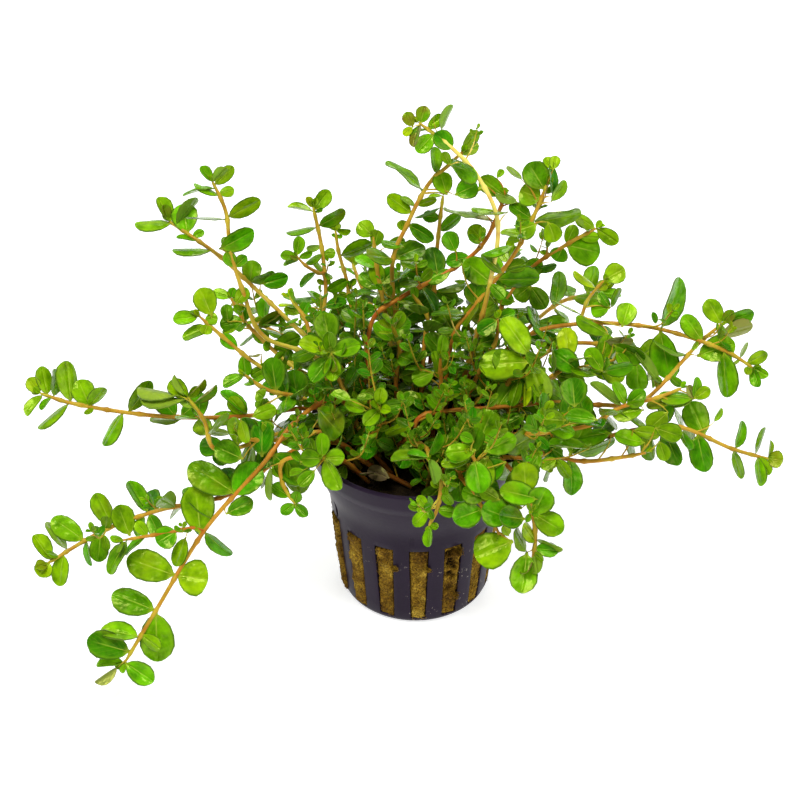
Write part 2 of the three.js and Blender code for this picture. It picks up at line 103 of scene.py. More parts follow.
# Outer radius and height of each ring of the pot's wall, from the middle of its floor to its rim
POT_RINGS = [
    (4, 0), (8, 0), (13, 0), (16.5, 0), (17.9, 0), (18.5, 0.25), (19.0, 0.8), (19.4, 1.8), (19.7, 5), (20, 8),
    (20.3, 11), (20.6, 14), (20.9, 17), (21.2, 20), (21.5, 23), (21.8, 26.7), (22.0, 28.5), (22.2, 30.5),
    (22.5, 32), (22.95, 33.6), (23.6, 35.4), (24.4, 37.5), (25.1, 39.6), (25.75, 41.6), (25.95, 42.3),
    (26.25, 42.6), (26.7, 44.5), (27.1, 46.6), (27.45, 48.2), (27.5, 48.5),
]


def wall_radius(z):
    """Outer radius of the pot at a height, in metres."""
    rings = [(r * MM, h * MM) for r, h in POT_RINGS if h > 0]
    for (r0, z0), (r1, z1) in zip(rings, rings[1:]):
        if z <= z1:
            return r0 + (r1 - r0) * (z - z0) / (z1 - z0)
    return rings[-1][0]


def slot_bearing(x, y):
    """Angle from the middle of the nearest slot, in radians."""
    pitch = 2 * math.pi / SLOTS
    return (math.atan2(y, x) - FRONT_SLOT + pitch / 2) % pitch - pitch / 2


def at_bearing(radius, turn, height):
    """A place at a distance from the pot's axis, at a bearing and a height."""
    return Vector((radius * math.cos(turn), radius * math.sin(turn), height))


def slot_width(z):
    """Width of a slot at a height; it widens towards its top."""
    share = min(1, (z - SLOT_LOW) / (SLOT_HIGH - SLOT_LOW))
    return SLOT_WIDTHS[0] + (SLOT_WIDTHS[1] - SLOT_WIDTHS[0]) * share


def pick(active, *others):
    """Selects pieces, of which the first is the active one."""
    bpy.ops.object.select_all(action="DESELECT")
    for piece in (active, *others):
        piece.select_set(True)
    bpy.context.view_layer.objects.active = active


def select_faces(piece, chosen):
    """Selects the faces whose middle passes a test, in edit mode."""
    bpy.ops.object.mode_set(mode="OBJECT")
    for face in piece.data.polygons:
        face.select = chosen(face.center)
    bpy.ops.object.mode_set(mode="EDIT")
    bpy.ops.mesh.select_mode(type="FACE")


def finish_modifier(piece, kind, **values):
    modifier = piece.modifiers.new(kind.lower(), kind)
    for key, value in values.items():
        setattr(modifier, key, value)
    bpy.context.view_layer.objects.active = piece
    bpy.ops.object.modifier_apply(modifier=modifier.name)


def cut_out(piece, cutter):
    """Cuts a helper piece out of a piece, and takes the helper away."""
    finish_modifier(piece, "BOOLEAN", operation="DIFFERENCE", solver="EXACT", object=cutter)
    bpy.data.objects.remove(cutter)


bpy.ops.object.select_all(action="DESELECT")
bpy.ops.mesh.primitive_circle_add(vertices=SLOTS * COLUMNS, radius=POT_RINGS[0][0] * MM, fill_type="NGON",
                                  rotation=(0, 0, FRONT_SLOT))
pot = bpy.context.object
pot.name = "moulded_pot"
bpy.ops.object.transform_apply(location=True, rotation=True, scale=True)
bpy.ops.object.mode_set(mode="EDIT")
bpy.ops.mesh.select_mode(type="EDGE")
bpy.ops.mesh.select_all(action="SELECT")
bpy.ops.mesh.region_to_loop()
for (r0, z0), (r1, z1) in zip(POT_RINGS, POT_RINGS[1:]):
    bpy.ops.mesh.extrude_edges_move(TRANSFORM_OT_translate={"value": (0, 0, (z1 - z0) * MM)})
    bpy.ops.transform.resize(value=(r1 / r0, r1 / r0, 1), center_override=(0, 0, z1 * MM))


def in_slot(middle):
    return SLOT_LOW < middle.z < SLOT_HIGH and abs(slot_bearing(middle.x, middle.y)) < 2 * FACE_TURN


select_faces(pot, in_slot)
bpy.ops.mesh.delete(type="FACE")
bpy.ops.mesh.select_all(action="SELECT")
bpy.ops.mesh.normals_make_consistent(inside=False)
bpy.ops.object.mode_set(mode="OBJECT")
# The slots are wider at the top: the columns on their edges lean outwards, up to well above the slots.
for corner in pot.data.vertices:
    bearing = slot_bearing(corner.co.x, corner.co.y)
    if SLOT_LOW - MM < corner.co.z < LEAN_TOP and abs(abs(bearing) - 2 * FACE_TURN) < FACE_TURN / 2:
        wanted = math.asin(slot_width(corner.co.z) / 2 / corner.co.xy.length)
        turn = math.copysign(wanted, bearing) - bearing
        corner.co = Matrix.Rotation(turn, 3, "Z") @ corner.co
finish_modifier(pot, "SOLIDIFY", thickness=WALL, offset=-1, use_even_offset=True)

DRAINS = 5
DRAIN_RADIUS = 2.4 * MM
DRAIN_RING = 10.5 * MM
for index in range(DRAINS):
    place = at_bearing(DRAIN_RING, 2 * math.pi * index / DRAINS, WALL / 2)
    bpy.ops.mesh.primitive_cylinder_add(vertices=24, radius=DRAIN_RADIUS, depth=4 * WALL, location=place)
    cut_out(pot, bpy.context.object)

# A lens-shaped slit through the neck on the left, and the shallow mark of the mould above the front slot
SLIT_BEARING = math.radians(-155)
SLIT_RADIUS = 22 * MM
SLIT_HEIGHT = 30.4 * MM
bpy.ops.mesh.primitive_cylinder_add(
    vertices=20, radius=1, depth=5 * MM, rotation=(0, math.pi / 2, SLIT_BEARING),
    location=at_bearing(SLIT_RADIUS, SLIT_BEARING, SLIT_HEIGHT))
slit = bpy.context.object
slit.scale = (2.7 * MM, 0.75 * MM, 1)
cut_out(pot, slit)

MARK_BEARING = math.radians(-92.6)
MARK_RADIUS = 22.75 * MM
MARK_HEIGHT = 29.6 * MM
bpy.ops.mesh.primitive_cube_add(size=1, rotation=(0, 0, MARK_BEARING),
                                location=at_bearing(MARK_RADIUS, MARK_BEARING, MARK_HEIGHT))
mark = bpy.context.object
mark.scale = (1.4 * MM, 1.1 * MM, 4.6 * MM)
cut_out(pot, mark)

finish_modifier(pot, "BEVEL", width=0.16 * MM, segments=2, limit_method="ANGLE", angle_limit=math.radians(38))
pick(pot)
bpy.ops.object.shade_smooth_by_angle(angle=math.radians(35))


def plain_material(name):
    """A new material, with its node tree and its surface shader."""
    material = bpy.data.materials.new(name)
    material.use_nodes = True
    return material, material.node_tree, material.node_tree.nodes["Principled BSDF"]


def add_node(tree, kind, inputs=None, **settings):
    node = tree.nodes.new(kind)
    for key, value in settings.items():
        setattr(node, key, value)
    for key, value in (inputs or {}).items():
        if isinstance(value, bpy.types.NodeSocket):
            tree.links.new(value, node.inputs[key])
        else:
            node.inputs[key].default_value = value
    return node


def mix_colour(tree, share, first, second, blend="MIX"):
    mixer = add_node(tree, "ShaderNodeMix", data_type="RGBA", blend_type=blend)
    for key, value in ((0, share), (6, first), (7, second)):
        if isinstance(value, bpy.types.NodeSocket):
            tree.links.new(value, mixer.inputs[key])
        elif key == 0:
            mixer.inputs[key].default_value = value
        else:
            mixer.inputs[key].default_value = (*value, 1)
    return mixer.outputs[2]


def add_noise(tree, place, scale, **inputs):
    """The value of a noise texture; its other inputs are given by their names."""
    return add_node(tree, "ShaderNodeTexNoise", {"Vector": place, "Scale": scale, **inputs}).outputs["Fac"]


def add_range(tree, value, low, high, least=0, most=1, **settings):
    """Spreads the stretch of a value from low to high over least to most."""
    inputs = {"Value": value, "From Min": low, "From Max": high, "To Min": least, "To Max": most}
    return add_node(tree, "ShaderNodeMapRange", inputs, **settings).outputs[0]


def add_math(tree, operation, first, second=0.5):
    return add_node(tree, "ShaderNodeMath", {0: first, 1: second}, operation=operation).outputs[0]


def add_bump(tree, surface, height, strength, distance):
    bump = add_node(tree, "ShaderNodeBump", {"Height": height, "Strength": strength, "Distance": distance})
    tree.links.new(bump.outputs["Normal"], surface.inputs["Normal"])


# Soft clouds of two colours, an effect that the plastic, the leaves and the stems share
clouds = bpy.data.node_groups.new("soft_clouds", "ShaderNodeTree")
CLOUD_SOCKETS = [
    ("Vector", "INPUT", "Vector"), ("Scale", "INPUT", "Float"), ("Detail", "INPUT", "Float"),
    ("Low", "INPUT", "Float"), ("High", "INPUT", "Float"), ("First Colour", "INPUT", "Color"),
    ("Second Colour", "INPUT", "Color"), ("Colour", "OUTPUT", "Color"), ("Value", "OUTPUT", "Float"),
]
for name, way, kind in CLOUD_SOCKETS:
    clouds.interface.new_socket(name=name, in_out=way, socket_type="NodeSocket" + kind)
given = clouds.nodes.new("NodeGroupInput").outputs
result = clouds.nodes.new("NodeGroupOutput").inputs
cloud_value = add_noise(clouds, given["Vector"], given["Scale"], Detail=given["Detail"])
cloud_share = add_range(clouds, cloud_value, given["Low"], given["High"])
cloud_colour = mix_colour(clouds, cloud_share, given["First Colour"], given["Second Colour"])
clouds.links.new(cloud_colour, result["Colour"])
clouds.links.new(cloud_value, result["Value"])


def add_clouds(tree, place, scale, low, first, high, second):
    """Clouds from one colour, at the noise value low, to another, at high; gives their colour and value."""
    inputs = {"Vector": place, "Scale": scale, "Detail": 3, "Low": low, "High": high,
              "First Colour": (*first, 1), "Second Colour": (*second, 1)}
    cloud = add_node(tree, "ShaderNodeGroup", inputs, node_tree=clouds)
    return cloud.outputs["Colour"], cloud.outputs["Value"]


pot_plastic, tree, surface = plain_material("violet_black_plastic")
place = add_node(tree, "ShaderNodeTexCoord").outputs["Object"]
plastic, cloudy = add_clouds(tree, place, 90, 0.3, (0.009, 0.0045, 0.0135), 0.7, (0.015, 0.0085, 0.021))
# Pale specks of dirt lie in patches on the lower half of the ribs.
speck_mask = add_range(tree, add_noise(tree, place, 1500, Detail=2, Roughness=0.6), 0.64, 0.68)
patch_mask = add_range(tree, add_noise(tree, place, 170, Detail=1), 0.54, 0.62)
height = add_node(tree, "ShaderNodeSeparateXYZ", {"Vector": place}).outputs["Z"]
dirt = add_math(tree, "MULTIPLY", speck_mask, patch_mask)
dirt = add_math(tree, "MULTIPLY", dirt, add_range(tree, height, 0.027, 0.012))
plastic = mix_colour(tree, dirt, plastic, (0.40, 0.36, 0.30))
tree.links.new(plastic, surface.inputs["Base Color"])
tree.links.new(add_range(tree, cloudy, 0, 1, 0.34, 0.46), surface.inputs["Roughness"])
set_inputs(surface, {"Specular IOR Level": 0.11, "Specular Tint": (1.0, 0.84, 1.0, 1)})
add_bump(tree, surface, add_noise(tree, place, 900, Detail=2), 0.12, 0.0002)
pot.data.materials.clear()
pot.data.materials.append(pot_plastic)
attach(pot, "root")
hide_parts("net_pot")

# Mineral wool plug. A round block of felted mineral fibre, pressed into the pot so that it fills it to
# below the rim and swells into the slots, just behind the ribs' faces; it is torn and flaking in places.
WOOL_TOP = 38 * MM
WOOL_LOW = 1.6 * MM
WOOL_ROWS = 84
WOOL_COLUMNS = SLOTS * 24
WOOL_CIRCLE = 10 * MM
WOOL_TOP_SHARES = [0.97, 0.92, 0.85, 0.77, 0.69, 0.6, 0.51, 0.42, 0.33, 0.24, 0.15, 0.07]
# Holes torn in the wool of one slot: bearing in degrees, height, half width and height, depth, all in mm
TORN_HOLES = [
    (-67.0, 24.4, 1.5, 0.9, 2.4), (-62.4, 25.1, 1.3, 0.6, 2.0), (-65.2, 20.8, 1.1, 1.7, 3.2),
    (-61.9, 19.0, 0.9, 1.3, 2.6), (-65.9, 17.0, 1.0, 0.9, 2.4), (-62.8, 15.6, 0.7, 0.6, 1.8),
]
# Flaps of wool that stick out at the edges of slots: bearing, height, half width and height, how far out
FLAPS = [
    (-61.2, 24.4, 1.4, 1.7, 2.2), (-82.8, 20.3, 1.0, 0.8, 1.8), (-105.0, 20.4, 0.9, 1.0, 1.2),
    (-61.0, 8.0, 1.2, 1.7, 1.1),
]
# The plug is most swollen round this bearing, in degrees.
SWOLLEN_BEARING = -153
SWOLLEN_SPREAD = 22

bpy.ops.object.select_all(action="DESELECT")
bpy.ops.mesh.primitive_circle_add(vertices=WOOL_COLUMNS, radius=WOOL_CIRCLE, fill_type="NOTHING",
                                  location=(0, 0, WOOL_LOW), rotation=(0, 0, FRONT_SLOT))
wool = bpy.context.object
wool.name = "felted_wool"
bpy.ops.object.transform_apply(location=True, rotation=True, scale=True)
bpy.ops.object.mode_set(mode="EDIT")
bpy.ops.mesh.select_mode(type="EDGE")
bpy.ops.mesh.select_all(action="SELECT")
row_height = (WOOL_TOP - WOOL_LOW) / WOOL_ROWS
for row in range(WOOL_ROWS):
    bpy.ops.mesh.extrude_edges_move(TRANSFORM_OT_translate={"value": (0, 0, row_height)})
size_now = 1.0
for share in WOOL_TOP_SHARES:
    bpy.ops.mesh.extrude_edges_move(TRANSFORM_OT_translate={"value": (0, 0, 0)})
    bpy.ops.transform.resize(value=(share / size_now, share / size_now, 1), center_override=(0, 0, WOOL_TOP))
    size_now = share
bpy.ops.mesh.edge_face_add()
# Its foot is closed with one face too.
bpy.ops.mesh.select_all(action="DESELECT")
bpy.ops.object.mode_set(mode="OBJECT")
for edge in wool.data.edges:
    edge.select = all(wool.data.vertices[i].co.z < WOOL_LOW + 0.1 * MM for i in edge.vertices)
bpy.ops.object.mode_set(mode="EDIT")
bpy.ops.mesh.edge_face_add()
bpy.ops.mesh.select_all(action="SELECT")
bpy.ops.mesh.normals_make_consistent(inside=False)
bpy.ops.object.mode_set(mode="OBJECT")


def clamp(value):
    return min(1, max(0, value))


def side_noise(turn, z, round_rate, up_rate, layer):
    """Unevenness of the wool's side, from -1 to 1, and how fast it changes round and up the plug."""
    return noise.noise(Vector((turn * round_rate, z * up_rate, layer)))


def off_centre(spot, turn, radius, z):
    """How far a place on the wool's side is from the middle of a hole or flap; 1 at its edge."""
    bearing, high, wide, tall, far = spot
    return math.hypot((turn - math.radians(bearing)) * radius / (wide * MM), (z - high * MM) / (tall * MM))


# The side follows the pot's wall and comes out between the ribs; the top is lumpy and sags at its edge.
depths = []
for corner in wool.data.vertices:
    x, y, z = corner.co
    turn = math.atan2(y, x)
    spread = math.hypot(x, y) / WOOL_CIRCLE
    depth = 0.0
    if spread > (1 + WOOL_TOP_SHARES[0]) / 2:
        radius = wall_radius(z)
        aside = abs(slot_bearing(x, y)) * radius
        ragged = 0.3 * MM * side_noise(turn, z, 30, 1400, 9)
        inside = clamp((slot_width(max(z, SLOT_LOW)) / 2 + 0.12 * MM + ragged - aside) / (0.4 * MM))
        inside *= clamp((z - SLOT_LOW + 0.1 * MM) / (0.3 * MM))
        inside *= clamp((SLOT_HIGH + ragged * 3 - z) / (0.5 * MM))
        lump = 0.55 * side_noise(turn, z, 8, 300, 3) + 0.30 * side_noise(turn, z, 40, 1100, 7)
        lump += 0.16 * side_noise(turn, z, 60, 3200, 1)
        rough = 0.4 * side_noise(turn, z, 50, 1500, 5)
        pit = 0
        for hole in TORN_HOLES:
            pit = max(pit, clamp(1.6 * (1.1 - off_centre(hole, turn, radius, z) - rough)) * hole[-1])
        loose = 0
        for flap in FLAPS:
            loose += max(0, 1 - off_centre(flap, turn, radius, z)) * flap[-1]
        swollen = math.exp(-((math.degrees(turn) - SWOLLEN_BEARING) / SWOLLEN_SPREAD) ** 2)
        out = -WALL - 0.2 * MM + inside * (WALL - 0.05 * MM + (lump - pit + loose + swollen) * MM)
        # How far the wool lies back from the ribs' faces or in a torn hole; its material paints this as shade.
        depth = clamp((-0.5 * MM - out) / (1.2 * MM))
        radius += out
        corner.co = at_bearing(radius, turn, z)
    else:
        radius = (wall_radius(WOOL_TOP) - WALL - 0.15 * MM) * spread
        lump = noise.noise(Vector((x, y, 0)) * 420) * 0.9 + noise.noise(Vector((x, y, 5)) * 1300) * 0.5
        sag = 1.2 * spread ** 6
        corner.co = at_bearing(radius, turn, WOOL_TOP + (lump - sag) * MM)
    depths.append(depth)
wool.data.attributes.new("depth", "FLOAT", "POINT").data.foreach_set("value", depths)
bpy.ops.object.shade_smooth()


def chance(a, b):
    """A repeatable number from 0 to 1 for the small differences between like things."""
    s = math.sin(a * 12.9898 + b * 78.233) * 43758.5453
    return s - math.floor(s)


# One loose fibre: a three-sided thread a millimetre long, which is stretched, bent and copied all over.
bpy.ops.object.select_all(action="DESELECT")
bpy.ops.mesh.primitive_cylinder_add(vertices=3, radius=0.045 * MM, depth=1 * MM, end_fill_type="NOTHING")
fibre = bpy.context.object
bpy.ops.object.mode_set(mode="EDIT")
bpy.ops.mesh.select_all(action="SELECT")
bpy.ops.mesh.subdivide(number_cuts=2)
bpy.ops.object.mode_set(mode="OBJECT")
fibre_corners = [corner.co.copy() for corner in fibre.data.vertices]
fibre_faces = [tuple(face.vertices) for face in fibre.data.polygons]
bpy.data.objects.remove(fibre)


def fibre_tuft(name, count, put):
    """Joined fibres; put(i) gives a fibre's middle, direction, outward normal and length."""
    corners, faces = [], []
    for index in range(count):
        middle, along, outward, length = put(index)
        across = along.cross(outward).normalized()
        bow = (chance(index, 5) - 0.3) * 0.5 * length
        swing = (chance(index, 6) - 0.5) * 0.7 * length
        first = len(corners)
        for corner in fibre_corners:
            t = corner.z / MM
            bend = 1 - 4 * t * t
            corners.append(middle + along * t * length + across * (corner.x + swing * bend)
                           + outward * (corner.y + bow * bend))
        faces.extend(tuple(first + i for i in face) for face in fibre_faces)
    mesh = bpy.data.meshes.new(name)
    mesh.from_pydata(corners, [], faces)
    tuft = bpy.data.objects.new(name, mesh)
    bpy.context.collection.objects.link(tuft)
    return tuft


def out_and_level(turn):
    """The directions out of the pot and level round it, at a bearing."""
    return at_bearing(1, turn, 0), Vector((-math.sin(turn), math.cos(turn), 0))


def fibre_in_slot(index):
    slot = int(chance(index, 1) * SLOTS)
    z = SLOT_LOW + chance(index, 2) * (SLOT_HIGH - SLOT_LOW)
    aside = (chance(index, 3) * 2 - 1) * slot_width(z) / 2 * 0.96
    radius = wall_radius(z)
    turn = FRONT_SLOT + 2 * math.pi * slot / SLOTS + aside / radius
    outward, level = out_and_level(turn)
    lean = chance(index, 4) * math.pi
    along = (level * math.cos(lean) + Vector((0, 0, math.sin(lean))) + outward * 0.1).normalized()
    middle = outward * (radius - 0.25 * MM) + Vector((0, 0, z))
    return middle, along, outward, (0.8 + 1.6 * chance(index, 7)) * MM


def fibre_in_flap(index):
    bearing, high, wide, tall, far = FLAPS[index % len(FLAPS)]
    turn = math.radians(bearing)
    outward, level = out_and_level(turn)
    lean = (chance(index, 21) - 0.45) * 1.3
    along = (level * math.cos(lean) + Vector((0, 0, math.sin(lean))) + outward * 0.35).normalized()
    aside = (chance(index, 22) - 0.3) * wide * MM
    z = (high + (chance(index, 23) * 2 - 1) * tall * 0.7) * MM
    middle = outward * (wall_radius(z) + chance(index, 24) * 0.35 * far * MM)
    middle += level * aside + Vector((0, 0, z))
    return middle, along, outward, (0.8 + 1.2 * chance(index, 25)) * MM


def fibre_on_top(index):
    turn = chance(index, 11) * 2 * math.pi
    radius = (wall_radius(WOOL_TOP) - 2 * WALL) * math.sqrt(chance(index, 12))
    lean = chance(index, 13) * 2 * math.pi
    along = Vector((math.cos(lean), math.sin(lean), 0.25)).normalized()
    middle = at_bearing(radius, turn, WOOL_TOP + 0.3 * MM)
    return middle, along, Vector((0, 0, 1)), (1.2 + 2.6 * chance(index, 14)) * MM


tufts = [
    fibre_tuft("slot_fibres", 1350, fibre_in_slot),
    fibre_tuft("flap_fibres", 340, fibre_in_flap),
    fibre_tuft("top_fibres", 480, fibre_on_top),
]
pick(wool, *tufts)
bpy.ops.object.join()


def add_ramp(tree, source, stops):
    """A colour ramp over a number, with its stops as (place, colour)."""
    ramp = add_node(tree, "ShaderNodeValToRGB", {"Fac": source})
    elements = ramp.color_ramp.elements
    while len(elements) < len(stops):
        elements.new(0.5)
    for element, (place, colour) in zip(elements, stops):
        element.position = place
        element.color = (*colour, 1)
    return ramp.outputs["Color"]


wool_felt, tree, surface = plain_material("stained_mineral_wool_with_painted_shade")
place = add_node(tree, "ShaderNodeTexCoord").outputs["Object"]
felt = add_ramp(tree, add_noise(tree, place, 170, Detail=5, Roughness=0.65), [
    (0.26, (0.055, 0.024, 0.002)), (0.42, (0.135, 0.072, 0.006)), (0.56, (0.24, 0.145, 0.013)),
    (0.72, (0.44, 0.31, 0.045)),
])
strands = add_noise(tree, place, 1100, Detail=4, Distortion=2.2)
strand_tone = add_ramp(tree, strands, [
    (0.36, (0.28, 0.24, 0.2)), (0.5, (1.0, 0.95, 0.85)), (0.62, (2.0, 1.95, 1.7)),
])
felt = mix_colour(tree, 0.8, felt, strand_tone, "MULTIPLY")
# Painted shade: it is coloured nearly black deep in its holes and where it lies back behind the ribs,
# and near its top, under the plant over the pot's mouth.
painted_hole_shade = add_node(tree, "ShaderNodeAttribute", attribute_name="depth").outputs["Fac"]
felt = mix_colour(tree, painted_hole_shade, felt, (0.012, 0.008, 0.004))
height = add_node(tree, "ShaderNodeSeparateXYZ", {"Vector": place}).outputs["Z"]
# Painted shade of the plant: from a little below its top upward the wool is turned nearly black.
felt = mix_colour(tree, add_range(tree, height, 0.030, 0.035, 0, 0.93), felt, (0.006, 0.005, 0.004))
tree.links.new(felt, surface.inputs["Base Color"])
set_inputs(surface, {"Roughness": 0.95, "Specular IOR Level": 0.12})
add_bump(tree, surface, strands, 0.9, 0.0006)
wool.data.materials.clear()
wool.data.materials.append(wool_felt)
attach(wool, "root")
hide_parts("mineral_wool_plug")

# Stems. Thin jointed stems stand and lean out of the wool, yellow-brown below and greener at the tip, a
# little swollen and redder at each joint. Each route runs in millimetres from the wool to the tip.
# Sizes are in millimetres and angles in degrees; pairs of leaves are counted from the tip of their stem.
STEM_RADIUS = 0.55
SHOOT_RADIUS = 0.42
STEM_STEP = 14
ROOT_HEIGHT = WOOL_TOP / MM + 0.35 + STEM_RADIUS
MARK_COUNT = 200
LAST_PAIR = 13
LEAF_WIDTH_SHARE = 0.74
LEAF_CLEARANCE = 0.75
LEAF_SEAT = 0.55
LEAF_MIN_LENGTH = 2.6
FIRST_JOINT = 1.5
JOINT_GROWTH = 0.75
ROLL_SPREAD = 30
OPENING = 48
OPENING_STEP = 5
WIDEST_PAIR = 5
YOUNG_LEAF_SHARE = 0.45
LEAF_GROWTH_STEP = 0.2
SIZE_SPREAD = 0.2
LEAF_LIFT = 0.18
FACE_FORWARD = 0.45
LONGEST_SHARE = 0.82
UP = Vector((0, 0, 1))
LIGHT = Vector((0, -0.3, 0.8))
LEFT = [
    {"leaf": 9.8, "roll": 75, "pairs": [1, 2, 4, 6],
     "route": [(-10, 4), (-20, 4, 51), (-29, 3, 53), (-42, 0, 53), (-57, -2, 54),
               (-71, -4, 57), (-85, -4, 60), (-94, -2, 62)]},
    {"leaf": 8.6, "roll": 20, "pairs": [1, 2, 3],
     "route": [(-14, -1), (-24, -2, 51.2), (-35, -5, 51), (-45, -12, 52),
               (-50, -15, 55), (-52, -11, 60), (-56, -8, 65)]},
    {"leaf": 12.6, "roll": -8, "twist": 0, "joint": 1.35, "pairs": [1, 2, 3, 4, 5, 6, 7],
     "route": [(-5, -1), (-18, 2, 56), (-29, -6, 57), (-38, -16, 50),
               (-52, -25, 37), (-64, -38, 22), (-72, -44, 10)]},
    {"leaf": 9.2, "roll": 60, "pairs": [1, 2, 3, 4, 5],
     "route": [(-1, -11), (-12, -8, 44), (-19, -8, 50.5), (-28, -11, 52), (-38, -13, 46),
               (-47, -18, 42), (-64, -19, 38), (-78, -21, 33), (-92, -28, 28)]},
    {"leaf": 8.8, "roll": 10, "pairs": [1, 2, 3], "shoot": True,
     "route": [(-53.5, -24.5, 37.5), (-64, -27, 37), (-75, -31, 38)]},
    {"leaf": 8.6, "roll": 30, "pairs": [1],
     "route": [(-13, 2), (-21, 2, 52.5), (-29, 1, 58), (-37, -1, 62), (-43, -2, 68)]},
    {"leaf": 10.4, "roll": 80, "pairs": [1, 2, 3],
     "route": [(-14, -3.5), (-22, -5, 51.3), (-30, -7, 51.5), (-37, -10, 53),
               (-42, -14, 57), (-46, -17, 62)]},
    {"leaf": 7.4, "roll": 5, "pairs": [1],
     "route": [(-9, 1), (-18, 8, 57), (-25, 12, 64), (-28, 18, 70), (-32, 22, 74)]},
    {"leaf": 8.4, "roll": 40, "pairs": [1],
     "route": [(-11, -2), (-15, -1, 52), (-19, 0, 64), (-21, 1, 72)]},
]
FRONT = [
    {"leaf": 8.4, "roll": 15, "pairs": [1, 2],
     "route": [(-12, -9), (-18, -14, 50), (-23, -23, 58)]},
    {"leaf": 5.4, "roll": 30, "pairs": [1, 3],
     "route": [(-14, -6), (-20, -11, 48), (-28, -15, 52), (-33, -16, 51), (-33, -18, 46), (-30, -20, 41)]},
    {"leaf": 7.4, "roll": 70, "pairs": [1],
     "route": [(-6, -6), (-12, -5, 48), (-9, -9, 57), (-9, -11, 65)]},
    {"leaf": 6.8, "roll": 50, "pairs": [1],
     "route": [(-1, -4), (-3, -6, 50), (2, -16, 56), (3, -24, 59)]},
    {"leaf": 6.8, "roll": 25, "pairs": [1, 2, 3],
     "route": [(3, -11), (4, -19, 52), (6, -26, 54), (5, -29, 47), (3, -31, 43), (3, -33, 39)]},
    {"leaf": 8.6, "roll": 65, "pairs": [1, 2],
     "route": [(4, -14), (10, -19, 50), (14, -26, 59), (11, -27, 65)]},
    {"leaf": 9.6, "roll": 30, "pairs": [1, 2],
     "route": [(6, -5), (12, -11, 53), (15, -17, 62), (17, -18, 68)]},
    {"leaf": 10.6, "roll": 55, "pairs": [1, 2, 3],
     "route": [(5, -9), (8, -19, 52), (12, -28, 54), (16, -31, 49), (20, -33, 42), (19, -33, 35)]},
    {"leaf": 10.8, "roll": 10, "pairs": [1, 2, 3, 4],
     "route": [(8, -8), (16, -16, 55), (21, -22, 56), (25, -26, 53),
               (28, -29, 46), (29, -31, 39), (28, -34, 31)]},
]
RIGHT = [
    {"leaf": 10.4, "roll": 20, "pairs": [1, 2, 3, 4],
     "route": [(2, -7), (0, -4, 54), (8, -2, 56), (18, -2, 57), (34, -1, 58),
               (46, -2, 58), (57, 0, 58), (72, 15, 65), (82, 21, 70)]},
    {"leaf": 9.2, "roll": 65, "pairs": [1, 2, 4],
     "route": [(8, -5), (21, -6, 51), (36, -7, 52), (45, -9, 53), (55, -8, 55),
               (66, -6, 54), (79, -7, 48), (90, -8, 45)]},
    {"leaf": 8.6, "roll": 35, "pairs": [1, 3],
     "route": [(13, -4), (23, -10, 53), (32, -12, 57), (43, -10, 58),
               (50, -7, 61), (60, -4, 62), (70, 0, 64)]},
    {"leaf": 9.2, "roll": 5, "pairs": [1, 2, 3],
     "route": [(13, -6), (24, -11, 51), (40, -13, 49), (50, -13, 50), (59, -14, 53)]},
    {"leaf": 9.6, "roll": 50, "pairs": [1],
     "route": [(11, -9), (18, -15, 51), (27, -17, 53), (32, -18, 52), (37, -20, 48)]},
    {"leaf": 9.8, "roll": 75, "pairs": [1, 2],
     "route": [(10, -7), (24, -15, 58), (31, -18, 62), (35, -17, 67)]},
    {"leaf": 9.2, "roll": 15, "pairs": [1],
     "route": [(14, 0), (23, 3, 52), (31, 4, 60), (37, 4, 65), (42, 5, 71)]},
    {"leaf": 9, "roll": 45, "pairs": [1],
     "route": [(14, 3), (25, 8, 53), (36, 9, 59), (45, 8, 63), (52, 7, 66)]},
    {"leaf": 11, "roll": 78, "pairs": [1, 2, 3],
     "route": [(9, 1), (17, 1, 50), (23, 2, 62), (26, 2, 71), (25, 4, 79)]},
    {"leaf": 9, "roll": 30, "pairs": [1, 2, 3],
     "route": [(10, 3), (23, 8, 55), (30, 11, 62), (38, 14, 65), (48, 15, 64), (55, 16, 60), (61, 14, 56)]},
    {"leaf": 10.6, "roll": 60, "joint": 1.25, "pairs": [1, 2, 3, 4],
     "route": [(12, 5), (21, 15, 59), (30, 19, 65), (41, 20, 67), (49, 19, 68),
               (60, 17, 68), (71, 13, 67), (79, 10, 65), (86, 8, 61)]},
    {"leaf": 7.6, "roll": 10, "pairs": [1, 2, 3], "shoot": True,
     "route": [(42, 20.5, 68.6), (44, 22, 74), (50, 24, 81)]},
]
